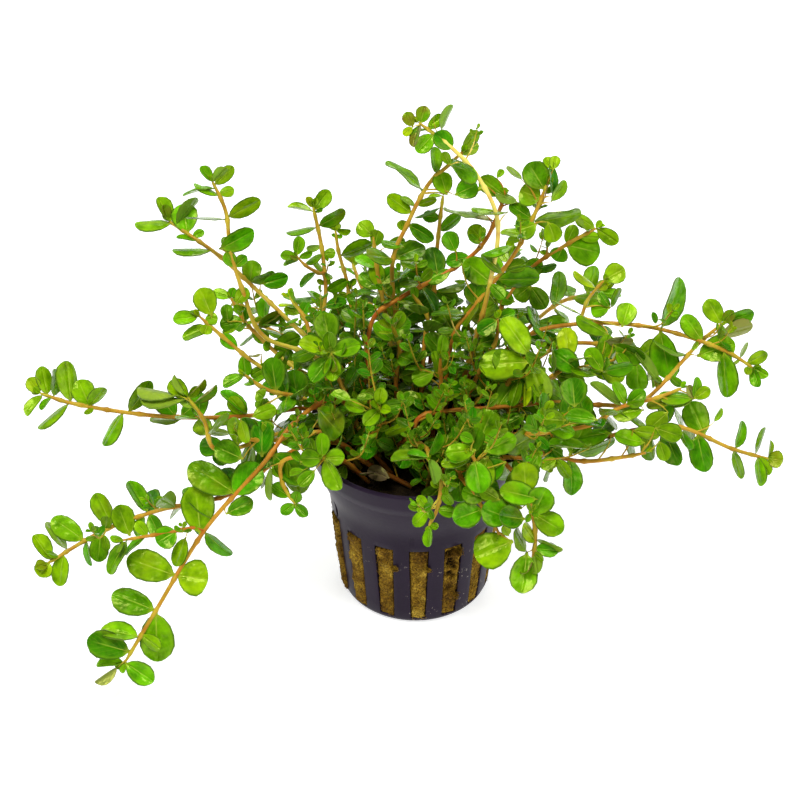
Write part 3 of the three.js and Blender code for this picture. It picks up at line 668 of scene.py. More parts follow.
CROWN = [
    {"leaf": 9.8, "roll": 25, "pairs": [1, 2, 3, 5],
     "route": [(-7, 8), (-22, 17, 57.5), (-33, 25, 65), (-41, 31, 70), (-51, 38, 76), (-65, 46, 82)]},
    {"leaf": 9, "roll": 70, "joint": 1.15, "pairs": [1, 2, 3, 4],
     "route": [(-10, 8), (-24, 19.5, 55), (-39, 23, 61), (-44, 26, 73),
               (-47, 30, 83), (-48, 34, 92), (-52, 37, 101)]},
    {"leaf": 9.6, "roll": 45, "pairs": [1, 2, 3],
     "route": [(-13.5, 4.5), (-22, 8, 51), (-32, 14, 53), (-41, 18, 56), (-49, 22, 61), (-58, 26, 68)]},
    {"leaf": 9, "roll": 15, "pairs": [1, 3],
     "route": [(-13, 7), (-21, 12, 51), (-32, 20, 54), (-40, 26, 58), (-45, 30, 62), (-49, 33, 69)]},
    {"leaf": 9.6, "roll": 60, "pairs": [1, 2, 4],
     "route": [(-3, 10), (-13, 17, 51), (-23, 24, 62), (-23, 29, 72), (-24, 33, 82), (-26, 36, 92)]},
    {"leaf": 6.2, "roll": 30, "pairs": [1], "shoot": True,
     "route": [(-24, 29, 76), (-28, 26, 81), (-31, 25, 86)]},
    {"leaf": 7.2, "roll": 80, "pairs": [1, 3],
     "route": [(-3, 14), (-9, 25, 51.2), (-16, 34, 60), (-18, 40, 67), (-20, 45, 72), (-21, 49, 77)]},
    {"leaf": 7.4, "roll": 20, "pairs": [1],
     "route": [(-7, 13), (-12, 24, 51.8), (-24, 38, 58), (-28, 44, 62), (-31, 49, 67)]},
    {"leaf": 9.6, "roll": 55, "pairs": [1, 2, 3, 4],
     "route": [(3, 9), (-3, 17, 58), (-6, 24, 81), (-2, 27, 93), (3, 29, 103), (8, 30, 108), (13, 31, 113)]},
    {"leaf": 8.6, "roll": 35, "pairs": [1, 2, 3, 4],
     "route": [(7, 7), (13, 11, 60), (18, 14, 82), (20, 19, 98), (15, 23, 109),
               (8, 26, 116), (2, 28, 120), (-2, 29, 123)]},
    {"leaf": 8.6, "roll": 75, "pairs": [1, 3],
     "route": [(2, 13), (4, 23, 56), (5, 31, 75), (6, 35, 87), (7, 38, 95)]},
    {"leaf": 8.4, "roll": 10, "pairs": [1],
     "route": [(-2, 8), (-5, 17, 54), (-8, 24, 69), (-10, 29, 79), (-11, 33, 89)]},
    {"leaf": 10, "roll": 40, "pairs": [1, 2, 4],
     "route": [(-7, 4), (-12, 10, 58), (-11, 17, 70), (-4, 20, 75), (10, 25, 81),
               (17, 27, 87), (21, 29, 96), (23, 30, 102)]},
    {"leaf": 10.8, "roll": 65, "pairs": [1, 2, 3, 4],
     "route": [(6, 4), (9, 13, 66), (15, 17, 75), (24, 22, 86), (29, 26, 95), (33, 29, 105)]},
    {"leaf": 10.6, "roll": 30, "pairs": [1, 2, 3, 4],
     "route": [(9, 9), (17, 24, 58), (28, 33, 73), (38, 36, 80), (49, 38, 86)]},
    {"leaf": 7.4, "roll": 5, "pairs": [1],
     "route": [(-4, 1), (-5, 9, 57), (-4, 9, 67), (-6, 7, 76)]},
    {"leaf": 7.6, "roll": 50, "pairs": [1],
     "route": [(1, 4), (2, 13, 64), (3, 17, 71), (-1, 19, 77)]},
    {"leaf": 9, "roll": 85, "pairs": [1, 2, 3],
     "route": [(3, -1), (6, 3, 57), (6, 3, 67), (6, 2, 76)]},
    {"leaf": 9.8, "roll": 20, "pairs": [1, 2],
     "route": [(7, 1), (15, 6, 60), (20, 9, 70), (20, 11, 79)]},
]
BACK = [
    {"leaf": 8.8, "roll": 45, "pairs": [1, 3],
     "route": [(6, 13), (12, 25, 51.7), (17, 36, 55), (23, 48, 58), (26, 57, 63)]},
    {"leaf": 8.8, "roll": 15, "pairs": [1, 3],
     "route": [(0, 14.5), (-1, 25, 51.2), (-8, 38, 53), (-14, 50, 57), (-17, 60, 59)]},
    {"leaf": 9.4, "roll": 70, "pairs": [1, 3],
     "route": [(12, 10), (19, 19, 51), (28, 27, 59), (38, 38, 61), (50, 47, 58)]},
    {"leaf": 9.2, "roll": 30, "pairs": [1, 3],
     "route": [(-11, 10), (-19, 20, 51.8), (-30, 33, 51), (-40, 40, 52), (-48, 48, 54)]},
]


def route_points(row):
    return [Vector((p[0], p[1], p[2] if len(p) > 2 else ROOT_HEIGHT)) for p in row["route"]]


class Stem:
    """A stem's smooth centre line through its route, with places found by their share of its length."""

    def __init__(self, row, name, number):
        self.row = row
        self.name = name
        self.number = number
        self.young = number > 100  # a twig or a young shoot
        self.points = route_points(row)
        self.joint = row.get("joint", 1)
        self.twist = row.get("twist", 90)
        self.radius = row.get("radius", SHOOT_RADIUS if row.get("shoot") else STEM_RADIUS)
        self.marks = [self.at(i / MARK_COUNT) for i in range(MARK_COUNT + 1)]
        self.lengths = [0.0]
        for a, b in zip(self.marks, self.marks[1:]):
            self.lengths.append(self.lengths[-1] + (b - a).length)
        self.length = self.lengths[-1]
        self.steps = max(math.ceil(self.length / STEM_STEP), len(self.points) - 1)
        self.stops = [self.at_share(i / self.steps) for i in range(self.steps + 1)]
        self.lines = list(zip(self.stops, self.stops[1:]))
        self.leaves = []
        self.shoots = []
        self.end = 1

    def at(self, t):
        """A place on the smooth line through the route's points, from 0 at its start to 1 at its tip."""
        p = self.points
        place = (len(p) - 1) * t
        i = min(int(place), len(p) - 2)
        w = place - i
        p0 = p[i - 1] if i > 0 else p[0] * 2 - p[1]
        p3 = p[i + 2] if i + 2 < len(p) else p[-1] * 2 - p[-2]
        t0 = (p[i + 1] - p0) * 0.5
        t1 = (p3 - p[i]) * 0.5
        c2 = p[i] * -3 + p[i + 1] * 3 - t0 * 2 - t1
        c3 = p[i] * 2 - p[i + 1] * 2 + t0 + t1
        return p[i] + t0 * w + c2 * w * w + c3 * w * w * w

    def time_of(self, share):
        """What at() needs for a share of the length."""
        wanted = share * self.length
        low, high = 0, MARK_COUNT
        while high - low > 1:
            middle = (low + high) // 2
            if self.lengths[middle] <= wanted:
                low = middle
            else:
                high = middle
        span = self.lengths[high] - self.lengths[low]
        return (low + (wanted - self.lengths[low]) / span) / MARK_COUNT

    def at_share(self, share):
        return self.at(self.time_of(share))

    def heading(self, share):
        t = self.time_of(share)
        return (self.at(min(1, t + 0.0001)) - self.at(max(0, t - 0.0001))).normalized()


def pair_distance(stem, pair):
    """How far from its stem's tip a pair of leaves sits; the joints are wider lower down."""
    return stem.joint * (FIRST_JOINT * pair + JOINT_GROWTH * pair * pair)


# Lines over a leaf that stand for it where it could touch something, each from and to a place on it: share
# of its length and of its half width
LEAF_LINES = [
    ((0, 0), (1, 0)), ((0.1, 1), (0.1, -1)), ((0.5, 1), (0.5, -1)), ((0.8, 1), (0.8, -1)),
    ((0.1, 1), (0.5, 1)), ((0.1, -1), (0.5, -1)), ((0.5, 1), (1, 0)), ((0.5, -1), (1, 0)),
]


class Leaf:
    """Where a leaf sits: its stalk's foot, long axis, width and face directions, and its length."""

    def __init__(self, stem, pair, side, turn, lift, scale):
        self.stem = stem
        self.pair = pair
        self.side = side
        share = 1 - pair_distance(stem, pair) / stem.length
        step = min(int(share * stem.steps), stem.steps - 1)
        along = stem.heading(share)
        across = along.cross(UP).normalized()
        third = along.cross(across)
        jitter = chance(stem.number, 7 * pair + side)
        roll = math.radians(stem.row["roll"] + stem.twist * pair + turn + ROLL_SPREAD * (jitter - 0.5))
        outward = (across * math.cos(roll) + third * math.sin(roll)) * side
        opening = math.radians(OPENING + OPENING_STEP * min(pair, WIDEST_PAIR) + lift)
        growth = min(1, YOUNG_LEAF_SHARE + LEAF_GROWTH_STEP * pair * stem.joint)
        luck = 1 + SIZE_SPREAD * (chance(stem.number, 31 * pair + side) - 0.5)
        foot = stem.stops[step].lerp(stem.stops[step + 1], share * stem.steps - step)
        self.put(foot + outward * LEAF_SEAT * stem.radius,
                 outward * math.sin(opening) + along * math.cos(opening) + UP * LEAF_LIFT,
                 along * FACE_FORWARD + LIGHT, stem.row["leaf"] * growth * luck * scale)
        self.outline = None
        self.broad = None
        self.tone = None

    def put(self, foot, axis, face, length):
        """Sets the leaf on its foot, along an axis, with its face turned to a direction as far as it can."""
        self.foot = foot
        self.axis = axis.normalized()
        self.face = (face - self.axis * face.dot(self.axis)).normalized()
        self.width = self.axis.cross(self.face)
        self.length = length
        self.middle = foot + self.axis * length / 2

    def spot(self, share, sideways):
        """A place on the blade, at a share of its length and, from -1 to 1, of its width there."""
        round_share = math.sqrt(max(0, 1 - (2 * share - 1) ** 2))
        half = self.length * LEAF_WIDTH_SHARE / 2 * round_share * (0.9 + 0.25 * (share - 0.5))
        return self.foot + self.axis * share * self.length + self.width * sideways * half

    def lines(self):
        if self.outline is None:
            self.outline = [(self.spot(*a), self.spot(*b)) for a, b in LEAF_LINES]
        return self.outline


def line_meets_leaf(start, end, leaf, gap):
    """Whether a line passes through a leaf's oval, or within a gap of it."""
    a = start - leaf.foot
    b = end - leaf.foot
    high = a.dot(leaf.face)
    fall = b.dot(leaf.face) - high
    enter, leave = 0.0, 1.0
    if abs(fall) < 1e-6:
        if abs(high) > gap:
            return False
    else:
        one = (-gap - high) / fall
        two = (gap - high) / fall
        enter = max(0.0, min(one, two))
        leave = min(1.0, max(one, two))
        if enter > leave:
            return False
    for share in (0, 0.25, 0.5, 0.75, 1):
        p = a.lerp(b, enter + (leave - enter) * share)
        u = (p.dot(leaf.axis) - leaf.length / 2) / (leaf.length / 2 + gap)
        v = p.dot(leaf.width) / (leaf.length * LEAF_WIDTH_SHARE / 2 + gap)
        if u * u + v * v < 1:
            return True
    return False


def leaves_meet(one, other, gap):
    if (one.middle - other.middle).length > (one.length + other.length) / 2 + gap:
        return False
    return (any(line_meets_leaf(a, b, other, gap) for a, b in one.lines())
            or any(line_meets_leaf(a, b, one, gap) for a, b in other.lines()))


def meets_pot(leaf, gap):
    for start, end in leaf.lines():
        for i in range(7):
            p = start.lerp(end, i / 6)
            r = math.hypot(p.x, p.y)
            if p.z < gap:
                return True
            if p.z < POT_RINGS[-1][1] + gap:
                skin = wall_radius(p.z * MM) / MM
                if skin - WALL / MM - gap < r < skin + gap:
                    return True
                if p.z < WOOL_TOP / MM + gap and r < POT_RINGS[-1][0]:
                    return True
    return False


# Where a leaf would touch another, it turns, lifts or stays smaller.
TRIES = [
    (0, 0, 1), (16, 0, 1), (-16, 0, 1), (0, 18, 1), (0, -18, 1), (28, 10, 0.9), (-28, 10, 0.9), (0, 30, 0.8),
    (12, -24, 0.75),
]

stems = []
for side, rows in (("left", LEFT), ("front", FRONT), ("right", RIGHT), ("crown", CROWN), ("back", BACK)):
    for number, row in enumerate(rows, 1):
        kind = "side_shoot" if row.get("shoot") else "stem"
        stems.append(Stem(row, "%s_%s_%d" % (kind, side, number), len(stems) + 1))

# Places that stay in view: stretches of long stems, from share to share of their length, and below them
# places over the mouth of the pot, where faded leaves hang
OPEN_STRETCHES = {
    "stem_right_1": (0.14, 0.42), "stem_left_3": (0.28, 0.98), "stem_left_1": (0.35, 0.9),
    "stem_crown_1": (0.45, 0.95), "stem_crown_2": (0.45, 0.95), "stem_right_11": (0.3, 0.95),
    "stem_crown_13": (0.35, 0.8), "stem_crown_14": (0.3, 0.8), "stem_right_2": (0.5, 0.95),
}
open_marks = []
for stem in stems:
    if stem.name in OPEN_STRETCHES:
        low, high = OPEN_STRETCHES[stem.name]
        for index in range(26):
            open_marks.append(stem.at_share(low + (high - low) * index / 25))
for place in ((-6.6, -12.6, 43.2), (-9, -13, 43), (-3, -14, 42), (-11.5, -13, 43)):
    open_marks.append(Vector(place))

CELL = 12.0
nearby = {}


def cell_of(place):
    return tuple(int(math.floor(c / CELL)) for c in place)


def neighbours(place):
    """The leaves whose middles lie in the cells about a place."""
    x, y, z = cell_of(place)
    for key in [(x + i, y + j, z + k) for i in (-1, 0, 1) for j in (-1, 0, 1) for k in (-1, 0, 1)]:
        yield from nearby.get(key, ())


def hides_stem(leaf):
    """Whether a leaf would cover one of the places that stay in view from the front."""
    toward = (EYE / MM - leaf.middle).normalized()
    for mark in open_marks:
        gap = mark - leaf.middle
        if gap.dot(toward) < 0 and (gap - toward * gap.dot(toward)).length < leaf.length * 0.36:
            return True
    return False


def grow_pair(stem, pair, gap, smallest, size=1):
    """Puts the two leaves of a joint on a stem, each where it stays a gap away from what is there."""
    for side in (1, -1):
        if any(leaf.pair == pair and leaf.side == side for leaf in stem.leaves):
            continue
        for turn, lift, scale in TRIES:
            leaf = Leaf(stem, pair, side, turn, lift, scale * size)
            if leaf.length < smallest:
                break
            if gap < LEAF_CLEARANCE and hides_stem(leaf):
                continue
            near_stem = any(
                (line[0] - leaf.foot).length < STEM_STEP + leaf.length
                and line_meets_leaf(line[0], line[1], leaf, gap + other.radius)
                for other in stems if other is not stem for line in other.lines)
            if near_stem or meets_pot(leaf, gap):
                continue
            others = (other for other in neighbours(leaf.middle) if other.stem is not stem)
            if any(leaves_meet(leaf, other, gap) for other in others):
                continue
            stem.leaves.append(leaf)
            nearby.setdefault(cell_of(leaf.middle), []).append(leaf)
            break


# Leaves that stand clear of the thicket, each set as it is seen from the front in a view 800 wide:
# its foot and tip, its width there (minus where it is turned the other way), how many millimetres its tip
# comes forward, and its tone from 0, pale and young, to 1, dark; minus shows the underside, 2 and more a
# reddish leaf, 4 and more a red bud.
CLEAR_LEAVES = {
    "stem_left_1": [
        (41, 393, 28, 378, 15, 1, 0.05), (42, 395, 28, 417, 13, 1, 0.35), (48, 394, 42, 366, 15, 0, 0.6),
        (54, 394, 58, 369, 8, -2, 0.5), (52, 392, 40, 408, 8, 3, 0.45), (71, 400, 69, 361, 19, 1, 0.55),
        (90, 403, 78, 380, 24, 0, 0.4), (70, 404, 35, 424, 13, 1, 0.5), (88, 406, 105, 391, 8, 4, 0.6),
        (92, 405, 86, 414, 8, 3, 0.7), (128, 408, 152, 382, 12, 1, 0.75), (124, 414, 100, 443, 17, 1, 0.5),
        (177, 416, 157, 394, 22, 1, 0.55), (180, 418, 204, 396, 21, 2, 0.8), (186, 419, 150, 422, 10, -1, -0.3),
        (241, 420, 213, 417, 16, 1, 0.6), (246, 419, 230, 398, 16, 2, 0.35), (247, 410, 224, 388, 14, 0, 0.6),
        (232, 434, 202, 431, 10, 0, -0.2),
    ],
    "stem_left_3": [
        (120, 664, 97, 667, 12, -1, 0.1), (118, 667, 94, 681, 11, 2, -2.3), (123, 664, 154, 682, 22, 1, 0.35),
        (130, 651, 87, 640, 29, 1, 0.95), (138, 636, 101, 626, 20, -1, 0.1), (141, 634, 158, 649, 14, 3, 0.5),
        (159, 612, 157, 663, 35, -1, 0.45), (156, 611, 113, 592, 27, 1, 0.75), (181, 579, 208, 579, 37, 1, 0.3),
        (177, 575, 127, 558, 32, 1, 0.5), (198, 533, 195, 487, 34, 2, 0.5), (206, 533, 229, 558, 13, -1, 0.7),
        (232, 491, 191, 462, 31, 1, 0.8), (237, 498, 258, 464, 31, 1, 0.65), (226, 514, 252, 500, 18, -2, 0.8),
        (212, 520, 188, 484, 22, -4, 0.5),
    ],
    "stem_left_4": [
        (50, 556, 32, 536, 16, 1, 0.2), (47, 557, 39, 577, 19, 2, 0.3), (46, 559, 35, 568, 12, 3, 2.3),
        (63, 551, 58, 586, 19, 1, 0.3), (66, 546, 45, 523, 9, -1, -0.6), (81, 537, 53, 517, 23, 1, 0.35),
        (60, 556, 48, 551, 6, 3, 0.7), (84, 537, 88, 566, 8, 1, 0.6), (101, 532, 98, 562, 20, 1, 0.7),
        (110, 523, 98, 492, 19, 0, 0.5), (108, 535, 107, 517, 12, 3, 0.8), (130, 536, 118, 505, 24, 1, 0.6),
        (148, 513, 126, 483, 15, -1, 0.4), (149, 513, 161, 536, 16, 2, 0.8), (146, 517, 138, 536, 12, -2, 0.4),
    ],
    "side_shoot_left_5": [
        (178, 536, 157, 542, 25, 2, 0.6), (186, 537, 174, 566, 17, 0, 0.5), (148, 537, 136, 522, 13, 0, 0.3),
        (148, 540, 123, 552, 10, -1, 0.5), (128, 543, 107, 573, 17, 1, 0.55), (124, 542, 111, 537, 8, 2, 0.4),
        (122, 542, 118, 552, 7, 3, 0.7),
    ],
    "stem_left_2": [
        (192, 396, 198, 386, 9, 0, 0.4), (190, 396, 176, 374, 6, 0, -0.3), (190, 398, 170, 382, 18, -2, 0.35),
        (192, 394, 204, 378, 4, 0, 2.6), (196, 402, 215, 383, 3, 0, 2.5), (186, 402, 141, 394, 11, -3, -0.15),
        (180, 396, 139, 384, 12, -4, -0.1), (194, 410, 178, 397, 10, -1, -0.2),
    ],
    "stem_left_6": [
        (245, 374, 224, 388, 13, 0, 0.65), (247, 380, 253, 384, 4, 1, 0.9), (256, 392, 264, 397, 16, 1, 0.75),
        (252, 417, 276, 407, 17, 1, 0.5), (262, 412, 263, 397, 16, -1, 0.8),
    ],
    "stem_left_7": [
        (243, 459, 215, 446, 25, 2, 0.95), (241, 419, 246, 443, 13, 2, 0.4), (262, 457, 262, 421, 25, 2, 0.95),
        (298, 446, 279, 432, 16, 2, 0.7), (298, 442, 300, 423, 19, 0, 0.75), (262, 422, 272, 432, 14, 1, 0.7),
    ],
    "stem_left_9": [
        (329, 352, 298, 344, 20, 2, 0.22), (334, 352, 361, 345, 20, 1, 0.4), (330, 345, 324, 313, 26, -1, 0.8),
        (330, 352, 327, 331, 15, 3, 0.9), (326, 356, 313, 383, 20, 1, 0.6), (328, 356, 333, 382, 19, 2, 0.45),
        (329, 357, 339, 370, 7, 4, 4.3),
    ],
    "stem_front_1": [
        (322, 460, 321, 433, 15, 0, 0.6), (322, 463, 300, 459, 20, 1, 0.6), (315, 470, 299, 486, 15, 1, 0.75),
        (304, 470, 290, 475, 9, 0, 0.6), (324, 463, 345, 457, 18, 1, 0.5), (324, 464, 342, 489, 18, 1, 0.35),
        (301, 462, 293, 452, 9, 0, 0.8),
    ],
    "stem_front_2": [
        (295, 504, 298, 491, 12, 1, 0.7), (294, 506, 281, 514, 12, 1, 0.6), (297, 506, 308, 516, 11, 1, 0.75),
        (270, 466, 275, 500, 8, 1, -0.6), (291, 497, 272, 485, 15, 0, 0.6), (286, 477, 274, 465, 12, 0, 0.8),
        (286, 458, 288, 478, 8, -1, 0.95),
    ],
    "stem_front_3": [
        (366, 411, 345, 403, 14, 1, 0.45), (352, 401, 331, 395, 11, 0, 0.6), (378, 409, 364, 426, 16, 2, 0.4),
        (382, 405, 382, 387, 15, 2, 0.4), (382, 408, 403, 403, 14, 1, 0.65), (380, 409, 369, 404, 9, 3, 0.3),
        (380, 409, 392, 411, 11, 3, 0.3), (375, 398, 357, 400, 9, -1, 0.85), (372, 440, 352, 444, 10, 0, 0.65),
        (376, 440, 394, 447, 14, 0, 0.9),
    ],
    "stem_front_4": [
        (425, 459, 391, 463, 14, 1, 0.55), (431, 458, 438, 432, 10, 1, 0.6), (432, 460, 434, 484, 11, 2, -0.6),
        (430, 459, 407, 455, 9, 0, 0.6), (413, 440, 418, 428, 8, 0, 0.9),
    ],
    "stem_front_5": [
        (424, 487, 412, 466, 12, 1, 0.75), (440, 488, 431, 481, 9, 0, 0.7), (443, 490, 452, 505, 10, 0, 0.6),
        (432, 508, 455, 512, 13, 1, 0.6), (428, 509, 418, 496, 11, 1, 0.4), (421, 508, 412, 495, 6, -1, 0.6),
        (428, 512, 414, 526, 14, 1, 0.35), (430, 526, 429, 547, 10, 0, 0.4), (431, 525, 438, 527, 8, 1, 0.5),
        (426, 512, 434, 519, 7, 2, 0.7),
    ],
    "stem_front_6": [
        (474, 441, 460, 435, 12, 1, 0.6), (476, 450, 447, 453, 20, 2, 0.35), (475, 454, 441, 464, 15, 1, 0.55),
        (478, 458, 481, 492, 27, 2, 0.4), (484, 452, 516, 436, 23, 0, 0.55),
    ],
    "stem_front_7": [(479, 442, 492, 411, 28, 2, 0.75), (504, 452, 540, 432, 20, -4, 0.85)],
    "stem_front_8": [
        (486, 507, 452, 521, 27, 4, 0.6), (485, 499, 463, 490, 22, 2, 0.8), (512, 519, 481, 508, 30, 3, 0.6),
        (513, 541, 476, 556, 37, 3, 0.35), (500, 500, 481, 489, 16, 3, 0.85), (488, 456, 479, 489, 26, 3, 0.5),
        (509, 536, 504, 526, 10, 3, 0.05), (506, 462, 484, 474, 24, -2, 0.75),
    ],
    "stem_front_9": [
        (528, 494, 524, 463, 29, 3, 0.4), (538, 499, 502, 489, 25, 4, 0.3), (530, 517, 547, 487, 28, 3, 0.45),
        (525, 519, 497, 516, 24, 6, 1.0), (532, 514, 563, 531, 25, 2, 0.45), (522, 508, 486, 502, 28, 1, 0.7),
        (533, 548, 558, 551, 15, 2, 0.55), (538, 543, 527, 525, 13, 5, 0.05), (538, 540, 564, 546, 5, 2, -0.3),
        (527, 552, 513, 530, 14, 4, -0.5), (525, 556, 521, 594, 28, 3, 0.3), (532, 553, 539, 574, 12, 4, -0.4),
        (526, 566, 528, 574, 6, 6, 4.2), (533, 553, 542, 561, 8, 4, 2.3), (512, 470, 520, 500, 24, -1, 0.8),
    ],
    "stem_right_1": [
        (723, 326, 708, 299, 20, 0, 0.35), (724, 325, 733, 311, 12, 2, 4.4), (726, 325, 753, 311, 14, 0, 0.6),
        (720, 334, 754, 328, 14, -1, -2.3), (697, 356, 735, 343, 27, 2, 0.45), (688, 357, 652, 346, 9, 1, -0.6),
        (663, 383, 631, 356, 16, 2, -0.85), (664, 384, 657, 378, 7, 1, 0.9), (672, 380, 681, 387, 8, 0, 0.8),
        (444, 410, 426, 396, 14, 1, 0.4), (449, 415, 460, 441, 11, 1, 0.3), (497, 407, 515, 382, 22, 0, 0.8),
        (413, 422, 385, 433, 13, 1, 0.5), (526, 414, 552, 448, 18, 0, 0.85), (524, 414, 500, 430, 18, -1, 0.8),
    ],
    "stem_right_2": [
        (766, 460, 783, 460, 18, 2, 2.3), (757, 458, 769, 475, 12, 1, 0.35), (757, 461, 758, 486, 9, 1, 0.4),
        (768, 458, 769, 440, 5, 0, 0.6), (755, 454, 769, 429, 6, 0, 0.7), (736, 447, 746, 422, 11, 0, 0.4),
        (733, 450, 741, 479, 7, 1, 0.6), (705, 434, 691, 402, 27, 1, 0.6), (697, 436, 704, 472, 22, 1, 0.8),
        (714, 422, 721, 408, 6, 0, 0.1),
    ],
    "stem_right_3": [
        (694, 399, 696, 377, 10, 0, 0.5), (695, 398, 688, 385, 9, 1, -2.6), (692, 401, 710, 388, 13, 0, 0.4),
        (690, 401, 660, 392, 17, 1, 0.5), (692, 401, 672, 407, 9, 0, -0.5), (672, 403, 646, 404, 13, -2, 1.0),
        (644, 410, 613, 413, 16, 1, 0.55), (668, 412, 648, 430, 22, 0, 0.5), (622, 403, 588, 387, 14, -1, -0.7),
        (625, 400, 612, 383, 14, 0, 0.4), (625, 400, 645, 391, 16, 0, 0.8), (624, 402, 644, 402, 7, 2, 0.5),
    ],
    "stem_right_4": [
        (659, 441, 666, 461, 15, 1, 0.65), (655, 428, 681, 437, 20, 1, 0.8), (633, 430, 659, 437, 13, 3, 0.5),
        (645, 443, 614, 437, 18, 1, 0.22), (612, 433, 572, 436, 20, 1, 0.6), (573, 453, 616, 443, 9, -1, 0.9),
    ],
    "stem_right_5": [
        (557, 458, 568, 479, 12, 1, 0.6), (556, 456, 541, 468, 13, 0, 0.05), (590, 448, 546, 449, 14, 0, 0.5),
        (540, 452, 528, 470, 18, 1, 0.6),
    ],
    "stem_right_6": [
        (598, 420, 566, 418, 18, 1, 0.75), (566, 420, 541, 420, 22, 2, 0.85), (575, 408, 572, 378, 28, 0, 1.0),
        (545, 415, 552, 402, 10, 3, 0.3),
    ],
    "stem_right_7": [
        (603, 372, 587, 349, 18, 0, 0.5), (604, 372, 606, 357, 6, 1, 0.85), (598, 376, 572, 365, 11, 1, 0.8),
        (580, 372, 554, 352, 24, 1, 0.7), (603, 375, 632, 364, 12, 1, 0.6),
    ],
    "stem_right_8": [
        (613, 344, 645, 358, 16, 0, 0.75), (616, 352, 628, 368, 13, 1, 0.55), (605, 341, 632, 338, 7, -1, -2.2),
        (628, 346, 641, 352, 8, -1, 0.2),
    ],
    "stem_right_9": [
        (530, 356, 504, 318, 28, 3, 0.15), (530, 362, 480, 364, 32, 2, 0.28), (520, 378, 498, 352, 22, 5, 0.7),
        (535, 362, 546, 402, 27, 2, 0.4), (527, 378, 522, 405, 8, 4, 0.0), (529, 378, 531, 403, 6, 4, 0.3),
        (523, 381, 511, 406, 13, 2, 0.95),
    ],
    "stem_right_11": [
        (609, 336, 579, 314, 18, 2, 0.7), (661, 325, 686, 280, 19, 0, 0.4), (659, 335, 668, 380, 27, -1, 0.4),
        (703, 339, 685, 314, 20, 0, 0.4), (698, 340, 692, 349, 5, 1, 0.8), (724, 352, 723, 397, 18, 1, 0.45),
        (731, 352, 728, 364, 6, 0, 0.5), (741, 357, 747, 342, 5, 0, -0.5), (741, 357, 734, 365, 4, 1, -0.5),
        (748, 361, 768, 354, 12, 0, 0.45), (751, 364, 746, 375, 9, 1, 2.3), (753, 366, 760, 387, 10, 1, 0.5),
        (753, 364, 769, 375, 9, 1, 0.3), (556, 348, 540, 338, 13, 0, 4.9), (556, 346, 537, 321, 9, 0, 0.75),
        (538, 336, 532, 305, 5, 0, 0.6),
    ],
    "side_shoot_right_12": [
        (594, 288, 576, 269, 11, 0, 0.08), (604, 281, 624, 268, 22, 1, 0.08), (600, 292, 607, 283, 12, 0, 2.2),
        (610, 308, 600, 292, 11, 1, 0.9), (609, 311, 590, 310, 18, 0, 0.25), (611, 308, 624, 290, 7, 0, 0.8),
        (622, 327, 629, 304, 21, 0, 0.12), (578, 314, 553, 299, 6, -1, 0.2),
    ],
    "stem_crown_1": [
        (171, 226, 135, 220, 16, 1, 0.2), (172, 221, 157, 198, 15, 0, 0.25), (169, 222, 162, 205, 9, 2, 2.5),
        (189, 233, 182, 203, 27, -1, 0.2), (176, 224, 199, 200, 6, 2, -0.8), (198, 241, 176, 239, 8, 1, 0.5),
        (192, 238, 204, 231, 9, 0, 0.5), (212, 252, 173, 245, 12, 1, 0.45), (251, 282, 253, 260, 20, 0, 0.55),
        (246, 286, 275, 274, 6, 1, 0.75), (261, 284, 288, 278, 14, 1, 0.75), (286, 327, 262, 327, 5, 0, 0.95),
        (280, 315, 260, 324, 9, -1, 4.8),
    ],
    "stem_crown_2": [
        (216, 180, 200, 167, 11, 0, 0.5), (218, 183, 234, 167, 11, 0, 0.5), (216, 180, 227, 169, 7, 2, -0.6),
        (216, 188, 182, 191, 8, 0, 0.3), (220, 196, 196, 181, 9, 2, 0.4), (219, 194, 234, 189, 12, 0, 0.45),
        (229, 217, 261, 201, 12, 0, 0.45), (225, 220, 186, 216, 8, 1, 0.95), (219, 249, 254, 233, 17, 2, 0.6),
        (228, 246, 222, 237, 9, -1, 0.8), (234, 267, 226, 253, 14, 2, 0.8), (236, 266, 246, 256, 12, 1, 0.8),
        (236, 304, 247, 288, 15, 1, 0.8), (255, 321, 262, 318, 4, 1, 2.2), (255, 321, 247, 322, 4, 0, 2.2),
        (260, 325, 282, 314, 9, -1, 2.9),
    ],
    "stem_crown_3": [
        (200, 315, 173, 321, 16, 1, 0.28), (212, 325, 182, 337, 15, 1, 0.4), (210, 322, 204, 334, 14, 2, 0.45),
        (203, 317, 191, 310, 5, 1, 4.3), (205, 320, 217, 317, 13, 1, 0.5), (212, 316, 200, 288, 24, 1, 0.35),
        (238, 349, 221, 335, 14, 0, 0.6), (241, 357, 245, 377, 14, 0, 0.65), (265, 366, 250, 376, 12, -1, 0.85),
        (270, 375, 243, 381, 8, 1, 0.5), (262, 354, 249, 357, 4, 1, -2.4),
    ],
    "stem_crown_4": [
        (228, 299, 212, 291, 12, 0, 0.12), (229, 299, 234, 288, 10, 1, 0.6), (230, 300, 244, 294, 11, 0, 0.7),
        (228, 322, 226, 304, 13, 1, 0.8), (240, 324, 220, 324, 18, 1, 0.75), (236, 330, 222, 331, 8, 0, 0.25),
        (248, 332, 268, 341, 15, 1, 0.75), (272, 350, 300, 338, 16, 2, 0.6), (268, 352, 264, 345, 11, 2, 0.5),
        (272, 366, 287, 353, 10, 1, 0.8), (284, 372, 292, 350, 10, 0, 0.85),
    ],
    "stem_crown_5": [
        (314, 211, 329, 190, 15, 0, 0.45), (311, 212, 287, 209, 9, 0, 0.2), (311, 208, 306, 197, 8, 1, 2.0),
        (312, 206, 316, 197, 7, 2, 0.0), (312, 213, 322, 207, 3, 1, 0.9), (317, 228, 286, 229, 10, 1, 0.8),
